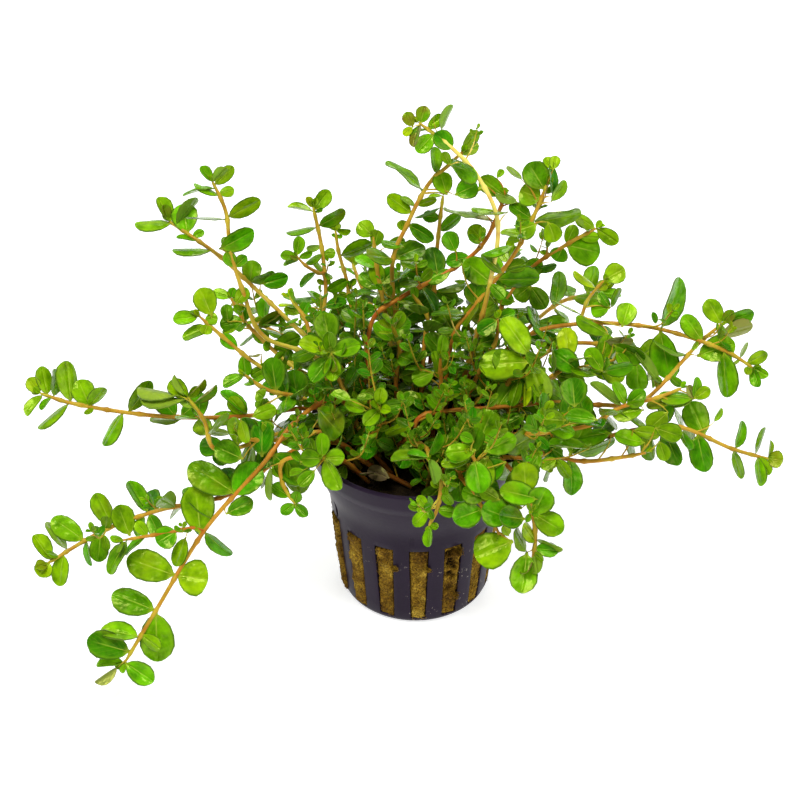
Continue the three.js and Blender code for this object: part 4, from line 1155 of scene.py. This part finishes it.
        (320, 226, 346, 212, 10, 0, 0.8), (323, 247, 306, 247, 9, -1, -0.6), (324, 253, 306, 262, 9, 2, 0.9),
        (324, 254, 335, 252, 11, 1, 0.75), (323, 275, 316, 258, 7, -1, 0.3), (325, 284, 317, 280, 6, 1, 0.7),
        (325, 284, 330, 280, 6, 1, 0.7), (324, 298, 292, 296, 11, 1, 0.95), (328, 292, 347, 281, 10, 1, 0.7),
    ],
    "side_shoot_crown_6": [
        (297, 256, 299, 236, 12, 0, 0.5), (296, 257, 280, 256, 11, 1, 0.6), (298, 260, 284, 267, 7, 1, 0.6),
        (299, 258, 312, 251, 6, 0, 0.5), (298, 258, 292, 256, 7, 3, 4.8), (316, 273, 299, 285, 9, 1, 0.8),
    ],
    "stem_crown_7": [
        (335, 231, 335, 221, 12, 2, 0.08), (333, 231, 321, 226, 4, 0, 0.3), (336, 230, 351, 230, 5, 0, 0.25),
        (336, 236, 343, 236, 4, 1, 0.6), (336, 236, 331, 235, 4, 1, 0.6), (340, 256, 373, 247, 10, 1, 0.6),
        (343, 289, 355, 278, 6, 1, 0.8), (349, 296, 338, 294, 8, 0, 0.8), (349, 294, 362, 294, 6, 0, 0.8),
    ],
    "stem_crown_8": [
        (297, 300, 283, 296, 8, 0, 0.6), (298, 308, 285, 304, 6, 0, 0.6), (300, 314, 284, 308, 10, 1, 0.6),
        (303, 339, 307, 325, 9, 1, 0.95), (300, 324, 284, 329, 8, 1, 0.75), (312, 322, 300, 314, 9, 1, 0.5),
    ],
    "stem_crown_9": [
        (460, 150, 479, 131, 11, 0, 0.6), (460, 155, 478, 144, 14, -1, -0.05),
        (420, 190, 388, 159, 14, 0, 0.45), (413, 215, 388, 195, 18, 1, 0.5), (414, 206, 400, 199, 8, -1, -0.5),
        (451, 167, 480, 171, 12, 9, 0.4), (447, 195, 440, 172, 20, 2, 0.35), (455, 195, 477, 185, 22, 1, 0.75),
        (437, 174, 432, 147, 13, 1, 0.22), (413, 204, 437, 200, 6, 0, 0.8), (412, 226, 435, 238, 12, 1, 0.98),
        (404, 232, 401, 220, 11, 0, 0.75), (404, 247, 382, 239, 11, 0, 0.8),
    ],
    "stem_crown_10": [
        (413, 127, 406, 112, 13, 1, 4.5), (414, 129, 403, 135, 9, 0, 0.2), (419, 126, 425, 106, 15, 1, 4.3),
        (429, 126, 442, 115, 11, -1, 0.12), (441, 131, 449, 104, 7, 0, -0.3), (418, 127, 411, 145, 10, 2, 4.5),
        (427, 130, 416, 133, 5, 1, 0.8), (433, 134, 417, 153, 18, 1, 0.4), (452, 151, 436, 133, 20, 2, 0.9),
        (450, 165, 443, 152, 10, 2, 0.98), (497, 211, 472, 205, 10, -2, 0.5), (508, 212, 478, 216, 8, 3, -0.5),
        (513, 246, 484, 251, 12, 3, 0.6), (503, 274, 482, 254, 13, 3, 0.9), (486, 284, 503, 297, 13, 3, 0.8),
    ],
    "stem_crown_11": [
        (440, 217, 422, 217, 13, 1, 0.85), (437, 207, 414, 214, 6, 1, 1.0), (434, 265, 401, 258, 20, 1, 0.9),
        (434, 290, 457, 303, 14, 1, 0.9), (444, 232, 462, 218, 10, 0, 0.6), (440, 195, 428, 200, 6, 0, 0.5),
    ],
    "stem_crown_12": [
        (376, 236, 359, 222, 19, 0, 0.4), (378, 247, 378, 231, 14, 2, 0.85), (380, 268, 356, 256, 13, 0, 0.35),
        (384, 288, 374, 263, 17, 1, 0.4), (380, 290, 360, 273, 16, 0, 0.85), (382, 284, 396, 268, 16, 0, 0.8),
        (386, 247, 405, 240, 12, 1, 0.85),
    ],
    "stem_crown_13": [
        (508, 197, 481, 177, 20, 1, 0.7), (488, 187, 476, 193, 6, 1, 0.3), (497, 178, 503, 170, 7, 0, 0.3),
        (518, 203, 496, 191, 13, 1, -0.85), (485, 214, 443, 212, 11, 2, -0.6),
        (490, 219, 468, 220, 8, 0, -2.5), (452, 270, 426, 279, 15, 1, 0.6), (470, 255, 446, 262, 16, 0, 0.8),
        (480, 238, 470, 226, 18, 0, 0.5), (456, 252, 446, 232, 18, 1, 0.7),
    ],
    "stem_crown_14": [
        (549, 192, 529, 163, 28, 2, 0.9), (552, 196, 554, 166, 9, 2, 0.9), (553, 170, 556, 156, 11, 0, 0.05),
        (549, 168, 545, 158, 10, -1, 0.1), (522, 180, 507, 167, 9, -1, -0.4), (545, 201, 520, 190, 28, 0, 0.65),
        (551, 202, 564, 180, 10, 0, 0.1), (533, 220, 510, 204, 16, 1, 0.98), (537, 224, 516, 231, 25, 1, 0.5),
        (536, 224, 582, 216, 10, -1, 0.4), (548, 222, 556, 242, 20, 0, 0.6), (505, 270, 526, 263, 15, 0, 1.0),
        (520, 235, 501, 230, 12, -2, 0.2), (490, 283, 465, 261, 27, 2, 0.6), (474, 306, 475, 282, 23, 1, 1.0),
        (473, 318, 495, 304, 18, 1, 1.0), (466, 313, 431, 312, 11, 0, 0.98), (498, 281, 540, 282, 17, -1, 0.65),
        (480, 300, 462, 325, 13, 0, 0.9),
    ],
    "stem_crown_15": [
        (595, 228, 577, 215, 14, 1, 0.45), (597, 231, 618, 243, 14, 1, 0.5), (568, 248, 575, 225, 14, 1, 0.65),
        (569, 250, 600, 252, 32, 1, 0.5), (580, 238, 599, 238, 11, 1, 0.3), (563, 247, 556, 261, 19, 0, 0.75),
        (592, 233, 576, 223, 9, 2, -0.5), (545, 262, 527, 273, 19, 0, 0.8), (528, 271, 556, 262, 5, 2, 0.98),
        (530, 286, 515, 298, 20, 1, 0.85), (530, 286, 546, 308, 20, 1, 0.9), (515, 302, 497, 296, 16, 0, 0.6),
    ],
    "stem_crown_18": [
        (441, 358, 444, 335, 12, 1, 0.55), (440, 380, 435, 351, 12, 2, 0.35), (443, 380, 448, 356, 8, 1, 0.65),
        (434, 372, 413, 380, 19, 2, 0.75), (420, 369, 405, 367, 7, 0, 0.65), (441, 382, 450, 400, 11, 2, 0.4),
        (446, 388, 466, 392, 18, 0, 0.9), (424, 402, 402, 394, 14, 0, 0.75), (478, 388, 460, 378, 12, 1, 0.5),
    ],
    "stem_crown_19": [
        (472, 394, 500, 386, 15, 0, 0.7), (494, 330, 516, 318, 6, 0, -0.5), (496, 320, 478, 332, 18, 1, 0.95),
        (500, 318, 515, 312, 13, 0, 0.75), (478, 344, 500, 338, 16, 0, 0.95), (470, 340, 452, 336, 14, 0, 0.9),
    ],
}
TOWARD = (EYE - AIM).normalized()
VIEW_UP = Vector((1, 0, 0)).cross(-TOWARD)
VIEW_WIDTH = 800
VIEW_SCALE = camera.data.lens / camera.data.sensor_width * VIEW_WIDTH
# Width of a flat blade to its length, how near to a stem's end its topmost leaves close over it, and how far
# off its stem a leaf's foot is seen before it gets a twig, in that view
BLADE_SHARE = 0.73
BUD_REACH = 11.5
TWIG_GAP = 6


def seen_at(place):
    """Where a place in millimetres is seen from the front, in a view 800 wide, and how far off it is."""
    away = place - EYE / MM
    depth = -away.dot(TOWARD)
    middle = VIEW_WIDTH / 2
    return middle + VIEW_SCALE * away.x / depth, middle - VIEW_SCALE * away.dot(VIEW_UP) / depth, depth


def place_seen(x, y, depth):
    """The place in millimetres that is seen there, so far off."""
    aside = Vector((1, 0, 0)) * (x - VIEW_WIDTH / 2) + VIEW_UP * (VIEW_WIDTH / 2 - y)
    return EYE / MM + aside * (depth / VIEW_SCALE) - TOWARD * depth


def twig_to(stem, index, foot_x, foot_y):
    """The end of a short side twig out of a stem's joint, which carries leaves that stand off the stem."""
    for twig in stem.shoots:
        x, y, depth = seen_at(twig.marks[-1])
        if math.hypot(x - foot_x, y - foot_y) < TWIG_GAP:
            return twig.marks[-1].copy()
    x, y, depth = seen_at(stem.marks[index])
    gap = math.hypot(x - foot_x, y - foot_y) * depth / VIEW_SCALE
    end = place_seen(foot_x, foot_y, depth - 0.25 * gap)
    start = index
    while start > 2 and stem.lengths[index] - stem.lengths[start] < 0.7 * gap:
        start -= 1
    foot = stem.marks[start]
    middle = foot.lerp(end, 0.5) + (stem.marks[index] - foot) * 0.16
    row = {"leaf": 3, "roll": 0, "pairs": [], "joint": 0.8, "radius": 0.27,
           "route": [tuple(foot), tuple(middle), tuple(end)]}
    stem.shoots.append(Stem(row, stem.name, 101 + len(stem.shoots)))
    return end


def clear_leaf(stem, foot_x, foot_y, tip_x, tip_y, width, forward, tone):
    """A listed leaf, on the place of its stem that is nearest to its foot, or on a twig from there."""
    def off(index):
        x, y, depth = seen_at(stem.marks[index])
        return math.hypot(x - foot_x, y - foot_y)

    index = min(range(len(stem.marks)), key=off)
    distance = stem.length - stem.lengths[index]
    root = math.sqrt(FIRST_JOINT ** 2 + 4 * JOINT_GROWTH * distance / stem.joint)
    pair = min(LAST_PAIR, (root - FIRST_JOINT) / (2 * JOINT_GROWTH))
    leaf = Leaf(stem, min(pair, 1), 1, 0, 0, 1)
    leaf.pair = pair
    depth = seen_at(stem.marks[index])[2]
    tip = place_seen(tip_x, tip_y, depth - forward)
    foot = stem.marks[index].copy()
    if off(index) > TWIG_GAP:
        foot = twig_to(stem, index, foot_x, foot_y)
    leaf.put(foot, tip - foot, TOWARD * 0.8 + UP * 0.2, (tip - foot).length)
    seen_width = abs(width) * depth / VIEW_SCALE
    full = max(seen_width, 0.62 * leaf.length)
    leaf.face.rotate(Matrix.Rotation(math.copysign(math.acos(seen_width / full), width), 3, leaf.axis))
    if tone < 0:
        leaf.face.negate()
    leaf.width = leaf.axis.cross(leaf.face)
    leaf.broad = full / leaf.length / BLADE_SHARE
    leaf.tone = abs(tone)
    return leaf


clear_from = {}
for stem in stems:
    ends = []
    for marks in CLEAR_LEAVES.get(stem.name, ()):
        leaf = clear_leaf(stem, *marks)
        stem.leaves.append(leaf)
        nearby.setdefault(cell_of(leaf.middle), []).append(leaf)
        open_marks.append(leaf.middle)
        clear_from[stem.name] = max(clear_from.get(stem.name, 0), leaf.pair)
        ends.append(min((leaf.foot - mark).length + (mark - stem.marks[-1]).length
                        for mark in stem.marks[::4]))
    # The stem ends in a small bud between its topmost leaves.
    if ends:
        stem.end = 1 - min(ends) / stem.length if min(ends) < BUD_REACH else 1
        for side in (1, -1):
            bud = Leaf(stem, 0, side, 0, -22, 0.5)
            bud.foot = stem.at_share(stem.end)
            bud.middle = bud.foot + bud.axis * bud.length / 2
            bud.tone = 0.2
            stem.leaves.append(bud)

# This stem's lower joints are bare over the mouth of the pot.
clear_from["stem_front_1"] = LAST_PAIR
# Stems at the upper left and the back, whose smaller leaves let the light through
AIRY_SIZE = 0.85
AIRY_SMALL_SIZE = 0.7
AIRY = ("stem_crown_1", "stem_crown_2", "stem_crown_3", "stem_crown_4", "stem_crown_5", "side_shoot_crown_6",
        "stem_crown_7", "stem_crown_8", "stem_left_8", "stem_back_2", "stem_back_4")

for stem in stems:
    for pair in stem.row["pairs"]:
        if pair_distance(stem, pair) > LONGEST_SHARE * stem.length:
            break
        if pair > clear_from.get(stem.name, 0):
            grow_pair(stem, pair, LEAF_CLEARANCE, LEAF_MIN_LENGTH, AIRY_SIZE if stem.name in AIRY else 1)

# The tip's closed pairs, the pairs left out above, and half pairs where the dense middle's joints are wide
SMALL_GAP = 0.15
SMALL_LENGTH = 1.5
SHOOT_LEAF_LENGTH = 1.2
SHOOT_LEAN = 0.75
TALL_SHOOT_LEAN = 0.35
DENSE_RADIUS = 45
WIDE_JOINT = 8
# Stems that are leafy all along
LEAFY_JOINT = 4
LEAFY = ("stem_left_2", "stem_left_4", "side_shoot_left_5", "stem_left_6", "stem_left_7", "stem_right_4",
         "stem_right_3", "stem_right_11", "side_shoot_right_12", "stem_right_2")


def all_pairs(stem):
    pairs = [0, 0.5]
    for pair in range(1, LAST_PAIR + 1):
        here = pair_distance(stem, pair)
        if here > LONGEST_SHARE * stem.length:
            break
        pairs.append(pair)
        place = stem.at_share(1 - here / stem.length)
        wide = pair_distance(stem, pair + 1) - here
        if wide > WIDE_JOINT and place.xy.length < DENSE_RADIUS or stem.name in LEAFY and wide > LEAFY_JOINT:
            pairs.append(pair + 0.5)
    return pairs


for stem in stems:
    for pair in all_pairs(stem):
        if pair_distance(stem, pair) <= LONGEST_SHARE * stem.length and pair > clear_from.get(stem.name, -1):
            grow_pair(stem, pair, SMALL_GAP, SMALL_LENGTH, AIRY_SMALL_SIZE if stem.name in AIRY else 1)


def add_shoot(stem, share, index, length, leaf_length, lean=SHOOT_LEAN):
    """A thin young shoot out of a joint, which bends up to the light."""
    number = 100 + stem.number * 20 + index
    foot = stem.at_share(share)
    along = stem.heading(share)
    turn = 2 * math.pi * chance(number, 1)
    level = at_bearing(1, turn, 0)
    out = (level * lean + along * 0.45 + UP * 0.35).normalized()
    up = (out * 0.5 + UP * 0.8 + Vector((0, -0.15, 0))).normalized()
    middle = foot + out * length * 0.45
    tip = middle + up * length * 0.6
    # None grows over the front of the pot's mouth, through its rim or through a leaf.
    if tip.z < 50 and tip.xy.length < 30 and middle.y < -12:
        return
    row = {"leaf": leaf_length, "roll": 180 * chance(number, 2), "pairs": [],
           "joint": 0.62 + 0.3 * chance(number, 3), "radius": 0.24,
           "route": [tuple(foot), tuple(middle), tuple(tip)]}
    shoot = Stem(row, stem.name, number)
    for mark in shoot.marks[20::20]:
        if mark.z < 48 and 19 < mark.xy.length < 28.5:
            return
        if any(line_meets_leaf(mark, mark + UP * 0.1, leaf, 0.2) for leaf in neighbours(mark)):
            return
    stem.shoots.append(shoot)
    for pair in range(7):
        if pair_distance(shoot, pair) < 0.85 * shoot.length:
            grow_pair(shoot, pair, SMALL_GAP, SHOOT_LEAF_LENGTH)


# Five shoots at the foot of each stem, taller ones at the back, and more along it where it is in the thicket
for stem in stems:
    if not stem.row.get("shoot"):
        for index in range(5):
            share = (3 + 5.5 * index + 4 * chance(stem.number, index + 40)) / stem.length
            length = 8 + 13 * chance(stem.number, index + 50)
            tall = index < 3 and (stem.name in AIRY or "back" in stem.name)
            if tall:
                length = 20 + 16 * chance(stem.number, index + 50)
            leaf_length = 3.6 + 1.8 * chance(stem.number, index)
            add_shoot(stem, share, index, length, leaf_length, TALL_SHOOT_LEAN if tall else SHOOT_LEAN)
    for index in range(5, 14):
        share = 1 - pair_distance(stem, index - 2.02) / stem.length
        if share < 0.12:
            break
        place = stem.at_share(share)
        if chance(stem.number, index + 60) < max(0.2, 0.85 - 0.011 * place.xy.length):
            length = 5 + 8 * chance(stem.number, index + 70)
            add_shoot(stem, share, index, length, 3.4 + 2 * chance(stem.number, index + 80))

# Leaves. A leaf is a thin waxy blade, rounded and widest past its middle, on a very short stalk, with a
# paler midrib; six forms, from flat and old to folded and young, are made once and copied.
BLADE_THICKNESS = 0.022
# Each row of a blade across its length: place on the midrib, place and half-width at the margin
BLADE_ROWS = [
    (0, 0, 0.030), (0.08, 0.07, 0.052), (0.18, 0.145, 0.170), (0.34, 0.30, 0.290), (0.54, 0.50, 0.358),
    (0.74, 0.70, 0.366), (0.90, 0.86, 0.285), (1.0, 0.95, 0.160),
]
BLADE_COLUMNS = 4
# Cup across, fold at the midrib, bend along, and a wave at the margin
BLADE_FORMS = {
    "flat": (-0.25, 0.06, -0.08, 0.014),
    "cupped": (-0.85, 0.05, -0.24, 0.012),
    "wavy": (0.20, 0.08, -0.14, 0.036),
    "spoon": (0.85, -0.04, 0.16, 0.012),
    "folded": (-0.2, 0.30, -0.26, 0.020),
    "young": (0.75, 0.22, 0.12, 0.004),
}


def blade_form(name, cup, fold, bend, wave):
    bpy.ops.object.select_all(action="DESELECT")
    bpy.ops.mesh.primitive_grid_add(x_subdivisions=len(BLADE_ROWS) - 1, y_subdivisions=BLADE_COLUMNS, size=1)
    blade = bpy.context.object
    blade.name = name
    for corner in blade.data.vertices:
        middle, margin, half = BLADE_ROWS[round((corner.co.x + 0.5) * (len(BLADE_ROWS) - 1))]
        aside = corner.co.y * 2
        share = middle - (middle - margin) * aside * aside
        y = half * aside
        z = cup * y * y + fold * abs(y) + bend * share * share * 0.6
        z += wave * math.sin(share * 9 + aside * 2) * abs(aside)
        corner.co = Vector((share, y, z))
    finish_modifier(blade, "SOLIDIFY", thickness=BLADE_THICKNESS, offset=0)
    bpy.ops.object.shade_smooth_by_angle(angle=math.radians(50))
    under = blade.data.attributes.new("under", "FLOAT", "POINT")
    half_count = len(blade.data.vertices) // 2
    under.data.foreach_set("value", [0.0] * half_count + [1.0] * (len(blade.data.vertices) - half_count))
    blade.hide_render = True
    return blade


blades = {name: blade_form(name + "_blade", *form) for name, form in BLADE_FORMS.items()}
# The pair number that marks a faded leaf
WITHERED = 99


def blade_copy(leaf):
    """A copy of the form that suits the leaf, put in its place, with its tint as an attribute."""
    number, young, mark = leaf.stem.number, leaf.stem.young, leaf.pair * 5 + leaf.side
    luck = chance(number * 3, mark + 17)
    if leaf.pair < 1:
        form = "young"
    else:
        form = ("flat", "cupped", "wavy", "cupped", "spoon", "folded")[int(luck * 5.999)]
    source = blades[form]
    piece = bpy.data.objects.new("blade", source.data.copy())
    bpy.context.collection.objects.link(piece)
    broad = leaf.broad or 0.83 + 0.17 * chance(number, mark + 23) - (0.14 if young else 0)
    tilt = 0 if leaf.broad else math.radians(60 * (chance(number, mark + 29) - 0.5))
    turn = Matrix((leaf.axis, -leaf.width, leaf.face)).transposed().to_4x4() @ Matrix.Rotation(tilt, 4, "X")
    size = Matrix.Diagonal((leaf.length * MM, leaf.length * broad * MM, leaf.length * MM, 1))
    piece.data.transform(Matrix.Translation(leaf.foot * MM) @ turn @ size)
    age = leaf.pair / 6 + 0.5 * (chance(number, mark + 31) - 0.5)
    if young:
        age += 0.25 + 0.35 * chance(number, 9)
    # Leaves low in the middle of the thicket are given a darker tone: painted shade.
    if leaf.middle.xy.length < 36 and leaf.middle.z < 85:
        age += 0.35
    ruddy = (0.55 + 0.45 * chance(number, 3)) * (0.9 if leaf.pair < 1 else 0.3 if leaf.pair < 2 else 0)
    if young or chance(number, 4) < 0.35:
        ruddy = 0
    if leaf.tone is not None:
        age = leaf.tone % 2
        ruddy = 0.8 if leaf.tone >= 4 else 0.5 if leaf.tone >= 2 else 0
    tint = piece.data.attributes.new("tint", "FLOAT_COLOR", "POINT")
    fresh = 0.0 if leaf.pair == WITHERED else 1.0
    tint.data.foreach_set("color", (clamp(age), luck, ruddy, fresh) * len(piece.data.vertices))
    piece.data.materials.append(leaf_green)
    return piece


# The blade's map runs along it in X and across it in Y; its tint holds age (darker also as painted shade
# low in the thicket's middle), luck, redness and freshness.
leaf_green, tree, surface = plain_material("leaf_green")
tint = add_node(tree, "ShaderNodeVertexColor", layer_name="tint")
tint_parts = add_node(tree, "ShaderNodeSeparateColor", {"Color": tint.outputs["Color"]}).outputs
under = add_node(tree, "ShaderNodeAttribute", attribute_name="under").outputs["Fac"]
leaf_map = add_node(tree, "ShaderNodeUVMap", uv_map="UVMap").outputs["UV"]
map_parts = add_node(tree, "ShaderNodeSeparateXYZ", {"Vector": leaf_map}).outputs
along = map_parts["X"]
across = add_math(tree, "ABSOLUTE", add_math(tree, "SUBTRACT", map_parts["Y"], 0.5))
place = add_node(tree, "ShaderNodeTexCoord").outputs["Object"]
green = add_ramp(tree, tint_parts["Red"], [
    (0.0, (0.26, 0.44, 0.002)), (0.25, (0.165, 0.375, 0.001)), (0.6, (0.090, 0.27, 0.0005)),
    (1.0, (0.042, 0.16, 0.0005)),
])
hue = add_range(tree, tint_parts["Green"], 0, 1, 0.472, 0.527)
green = add_node(tree, "ShaderNodeHueSaturation", {"Hue": hue, "Color": green}).outputs["Color"]
mottle_tone, mottle = add_clouds(tree, place, 330, 0.32, (0.48, 0.58, 0.45), 0.68, (1.58, 1.45, 1.15))
green = mix_colour(tree, 0.85, green, mottle_tone, "MULTIPLY")
warm = add_noise(tree, place, 95, Detail=2)
veins = add_math(tree, "SINE", add_math(tree, "MULTIPLY", add_math(tree, "SUBTRACT", along, across), 38.0))
midrib = add_range(tree, across, 0.032, 0.008)
midrib = add_math(tree, "MULTIPLY", midrib, add_range(tree, along, 0.85, 0.35, 0, 0.75))
reddish = add_math(tree, "MULTIPLY", tint_parts["Blue"], add_range(tree, mottle, 0.35, 0.6))
LEAF_MARKS = [
    (add_range(tree, warm, 0.56, 0.75, 0, 0.5), (0.22, 0.24, 0.006)),  # warm patches
    (add_range(tree, veins, 0.80, 1.0, 0, 0.13), (0.26, 0.40, 0.02)),  # side veins
    (midrib, (0.38, 0.48, 0.045)),
    (add_range(tree, along, 0.30, 0.04, 0, 0.8), (0.42, 0.46, 0.03)),  # stalk
    (add_range(tree, across, 0.34, 0.43, 0, 0.22), (0.30, 0.46, 0.02)),  # pale rim
    (add_range(tree, across, 0.42, 0.49, 0, 0.92), (0.028, 0.085, 0.002)),  # dark edge
    (reddish, (0.13, 0.055, 0.008)),
]
for mask, colour in LEAF_MARKS:
    green = mix_colour(tree, mask, green, colour)
pale = mix_colour(tree, 0.6, green, (0.20, 0.30, 0.035))
pale = mix_colour(tree, add_math(tree, "MULTIPLY", tint_parts["Blue"], 0.9), pale, (0.27, 0.17, 0.07))
green = mix_colour(tree, under, green, pale)
green = mix_colour(tree, tint.outputs["Alpha"], (0.22, 0.165, 0.075), green)
tree.links.new(green, surface.inputs["Base Color"])
tree.links.new(add_range(tree, mottle, 0, 1, 0.13, 0.33), surface.inputs["Roughness"])
set_inputs(surface, {
    "Specular IOR Level": 0.32, "Specular Tint": (0.95, 1.0, 0.22, 1), "Subsurface Weight": 0.10,
    "Subsurface Radius": (0.6, 1.0, 0.1), "Subsurface Scale": 0.0012,
})
groove = add_range(tree, across, 0, 0.13, 0, 0.55, interpolation_type="SMOOTHSTEP")
relief = add_math(tree, "ADD", add_noise(tree, place, 420, Detail=1), groove)
relief = add_math(tree, "SUBTRACT", relief, add_math(tree, "MULTIPLY", veins, 0.01))
add_bump(tree, surface, relief, 0.7, 0.0006)

# A stem's tint holds its share from brown to green, redness at the joints, yellowness and how little
# painted shade it gets in the pot's mouth.
stem_brown, tree, surface = plain_material("stem_brown")
tint = add_node(tree, "ShaderNodeVertexColor", layer_name="tint")
tint_parts = add_node(tree, "ShaderNodeSeparateColor", {"Color": tint.outputs["Color"]}).outputs
bark = add_ramp(tree, tint_parts["Red"], [
    (0.0, (0.36, 0.125, 0.014)), (0.35, (0.47, 0.20, 0.018)), (0.7, (0.50, 0.28, 0.025)),
    (1.0, (0.44, 0.37, 0.025)),
])
place = add_node(tree, "ShaderNodeTexCoord").outputs["Object"]
streak_tone = add_clouds(tree, place, 240, 0.35, (0.72, 0.5, 0.4), 0.6, (1.12, 1.15, 1.2))[0]
bark = mix_colour(tree, 0.8, bark, streak_tone, "MULTIPLY")
bark = mix_colour(tree, tint_parts["Blue"], bark, (0.56, 0.49, 0.05))
bark = mix_colour(tree, add_range(tree, tint_parts["Blue"], 0.91, 0.98), bark, (0.86, 0.70, 0.15))
bark = mix_colour(tree, tint_parts["Green"], bark, (0.50, 0.10, 0.015))
# Painted shade in the pot's mouth darkens the stem where the tint's alpha is low.
bark = mix_colour(tree, tint.outputs["Alpha"], (0.045, 0.03, 0.008), bark)
tree.links.new(bark, surface.inputs["Base Color"])
set_inputs(surface, {
    "Roughness": 0.36, "Specular IOR Level": 0.3, "Specular Tint": (1.0, 0.85, 0.35, 1),
    "Subsurface Weight": 0.1, "Subsurface Scale": 0.001,
})

SKIN_STEP = 0.9
YOUNG_SKIN_STEP = 2
SKIN_SIDES = 2
# How yellow-green a stem's lower half is; minus where it is red-brown all along, over 1 where its upper half
# is straw yellow
BARK_TONES = {
    "stem_crown_1": 0.8, "stem_crown_2": 0.8, "stem_crown_3": 0.9, "stem_crown_4": 0.9, "stem_crown_5": 0.5,
    "side_shoot_crown_6": 0.3, "stem_crown_7": 0.9, "stem_crown_8": 0.9, "stem_crown_9": 0.35,
    "stem_crown_10": 1.6, "stem_crown_12": 0.6, "stem_crown_13": -0.45, "stem_crown_15": -0.15,
    "stem_left_2": 0.5, "stem_left_3": -0.08, "stem_left_6": 0.7, "stem_left_7": 0.5, "stem_left_8": 0.9,
    "stem_left_9": 0.6, "stem_front_5": 0.9, "stem_right_10": 0.4, "side_shoot_right_12": 0.8,
    "stem_back_1": 0.9, "stem_back_2": 0.9, "stem_back_3": 0.6, "stem_back_4": 0.9,
}


def stem_skin(stem):
    """The stem as a tapering tube, thicker at its joints, with its tint along it as an attribute."""
    count = max(8, int(stem.length / (YOUNG_SKIN_STEP if stem.young else SKIN_STEP)))
    joints = [1 - pair_distance(stem, pair) / stem.length for pair in range(1, LAST_PAIR + 1)]
    joints = [share for share in joints if share > 0.02]
    line = bpy.data.curves.new("skin", "CURVE")
    line.dimensions = "3D"
    line.bevel_depth = 1
    line.bevel_resolution = 0 if stem.young else SKIN_SIDES
    line.use_fill_caps = True
    spline = line.splines.new("POLY")
    spline.points.add(count)
    shades = []
    age = 0.8 if stem.young else 0
    for i in range(count + 1):
        share = i / count * stem.end
        place = stem.at_share(share) * MM
        if i == 0 and stem.row.get("shoot"):
            start = stem.at_share(0)
            marks = [mark for other in stems if other is not stem for mark in other.marks]
            place = min(marks, key=lambda mark: (mark - start).length) * MM
        away = min((abs(share - joint) * stem.length for joint in joints), default=99)
        swell = 1 + 0.45 * math.exp(-(away / 0.6) ** 2)
        below = min(((joint - share) * stem.length for joint in joints if joint > share), default=99)
        spline.points[i].co = (*place, 1)
        taper = 1.05 - 0.4 * share if stem.young else 1.14 - 0.24 * share
        taper *= 1 - 0.5 * math.exp(-(stem.end - share) * stem.length / 2.2)
        spline.points[i].radius = stem.radius * MM * taper * swell
        red = 0.75 * math.exp(-(below / 1.6) ** 2) * (1 - 0.6 * share) * (1 - age)
        bark_tone = BARK_TONES.get(stem.name, 0)
        pale = min(0.9, max(0, bark_tone) * max(0, 1.9 - 2 * share))
        if bark_tone > 1:
            pale = min(1, max(0.3, (share - 0.42) / 0.08)) * min(1, max(0.3, (1.05 - share) / 0.15))
        # Painted shade: it is coloured dark where it comes out of the wool, in the pot's mouth.
        mouth_shade = 0.8 * math.exp(-max(0, place.z / MM - 39) / 3) if place.xy.length < 23 * MM else 0
        shades.append((age + (1 - age) * share, red + max(0, -bark_tone), pale, mouth_shade))
    tube = bpy.data.objects.new("skin", line)
    bpy.context.collection.objects.link(tube)
    pick(tube)
    bpy.ops.object.convert(target="MESH")
    tube = bpy.context.object
    tint = tube.data.attributes.new("tint", "FLOAT_COLOR", "POINT")
    ring = len(tube.data.vertices) // (count + 1)
    colours = []
    for i in range(len(tube.data.vertices)):
        share, red, pale, mouth_shade = shades[min(i // ring, count)]
        colours.extend((share, red, pale, 1 - mouth_shade))
    tint.data.foreach_set("color", colours)
    tube.data.materials.append(stem_brown)
    bpy.ops.object.shade_smooth()
    return tube


# Two faded leaves still hang on the low stem inside the rim: one lying fairly flat and one standing on its
# edge.
# Foot, direction, side that faces up and length
FALLEN = [
    ((-6.6, -12.6, 43.2), (-0.85, 0.35, 0.1), (0.1, -0.6, 0.8), 6.2),
    ((-9.8, -11.8, 44.2), (-0.95, -0.05, 0.15), (0.1, 1, 0.25), 4.4),
]
low_stem = next(stem for stem in stems if stem.name == "stem_left_4")
for foot, axis, face, length in FALLEN:
    leaf = Leaf(low_stem, 8, 1, 0, 0, 1)
    leaf.pair = WITHERED
    leaf.put(Vector(foot), Vector(axis), Vector(face), length)
    low_stem.leaves.append(leaf)

for stem in stems:
    parts = [blade_copy(leaf) for shoot in [stem] + stem.shoots for leaf in shoot.leaves]
    parts += [stem_skin(shoot) for shoot in stem.shoots]
    skin = stem_skin(stem)
    pick(skin, *parts)
    bpy.ops.object.join()
    skin.name = "leafy_" + stem.name
    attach(skin, "root")
    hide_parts(stem.name)
for blade in blades.values():
    bpy.data.objects.remove(blade)
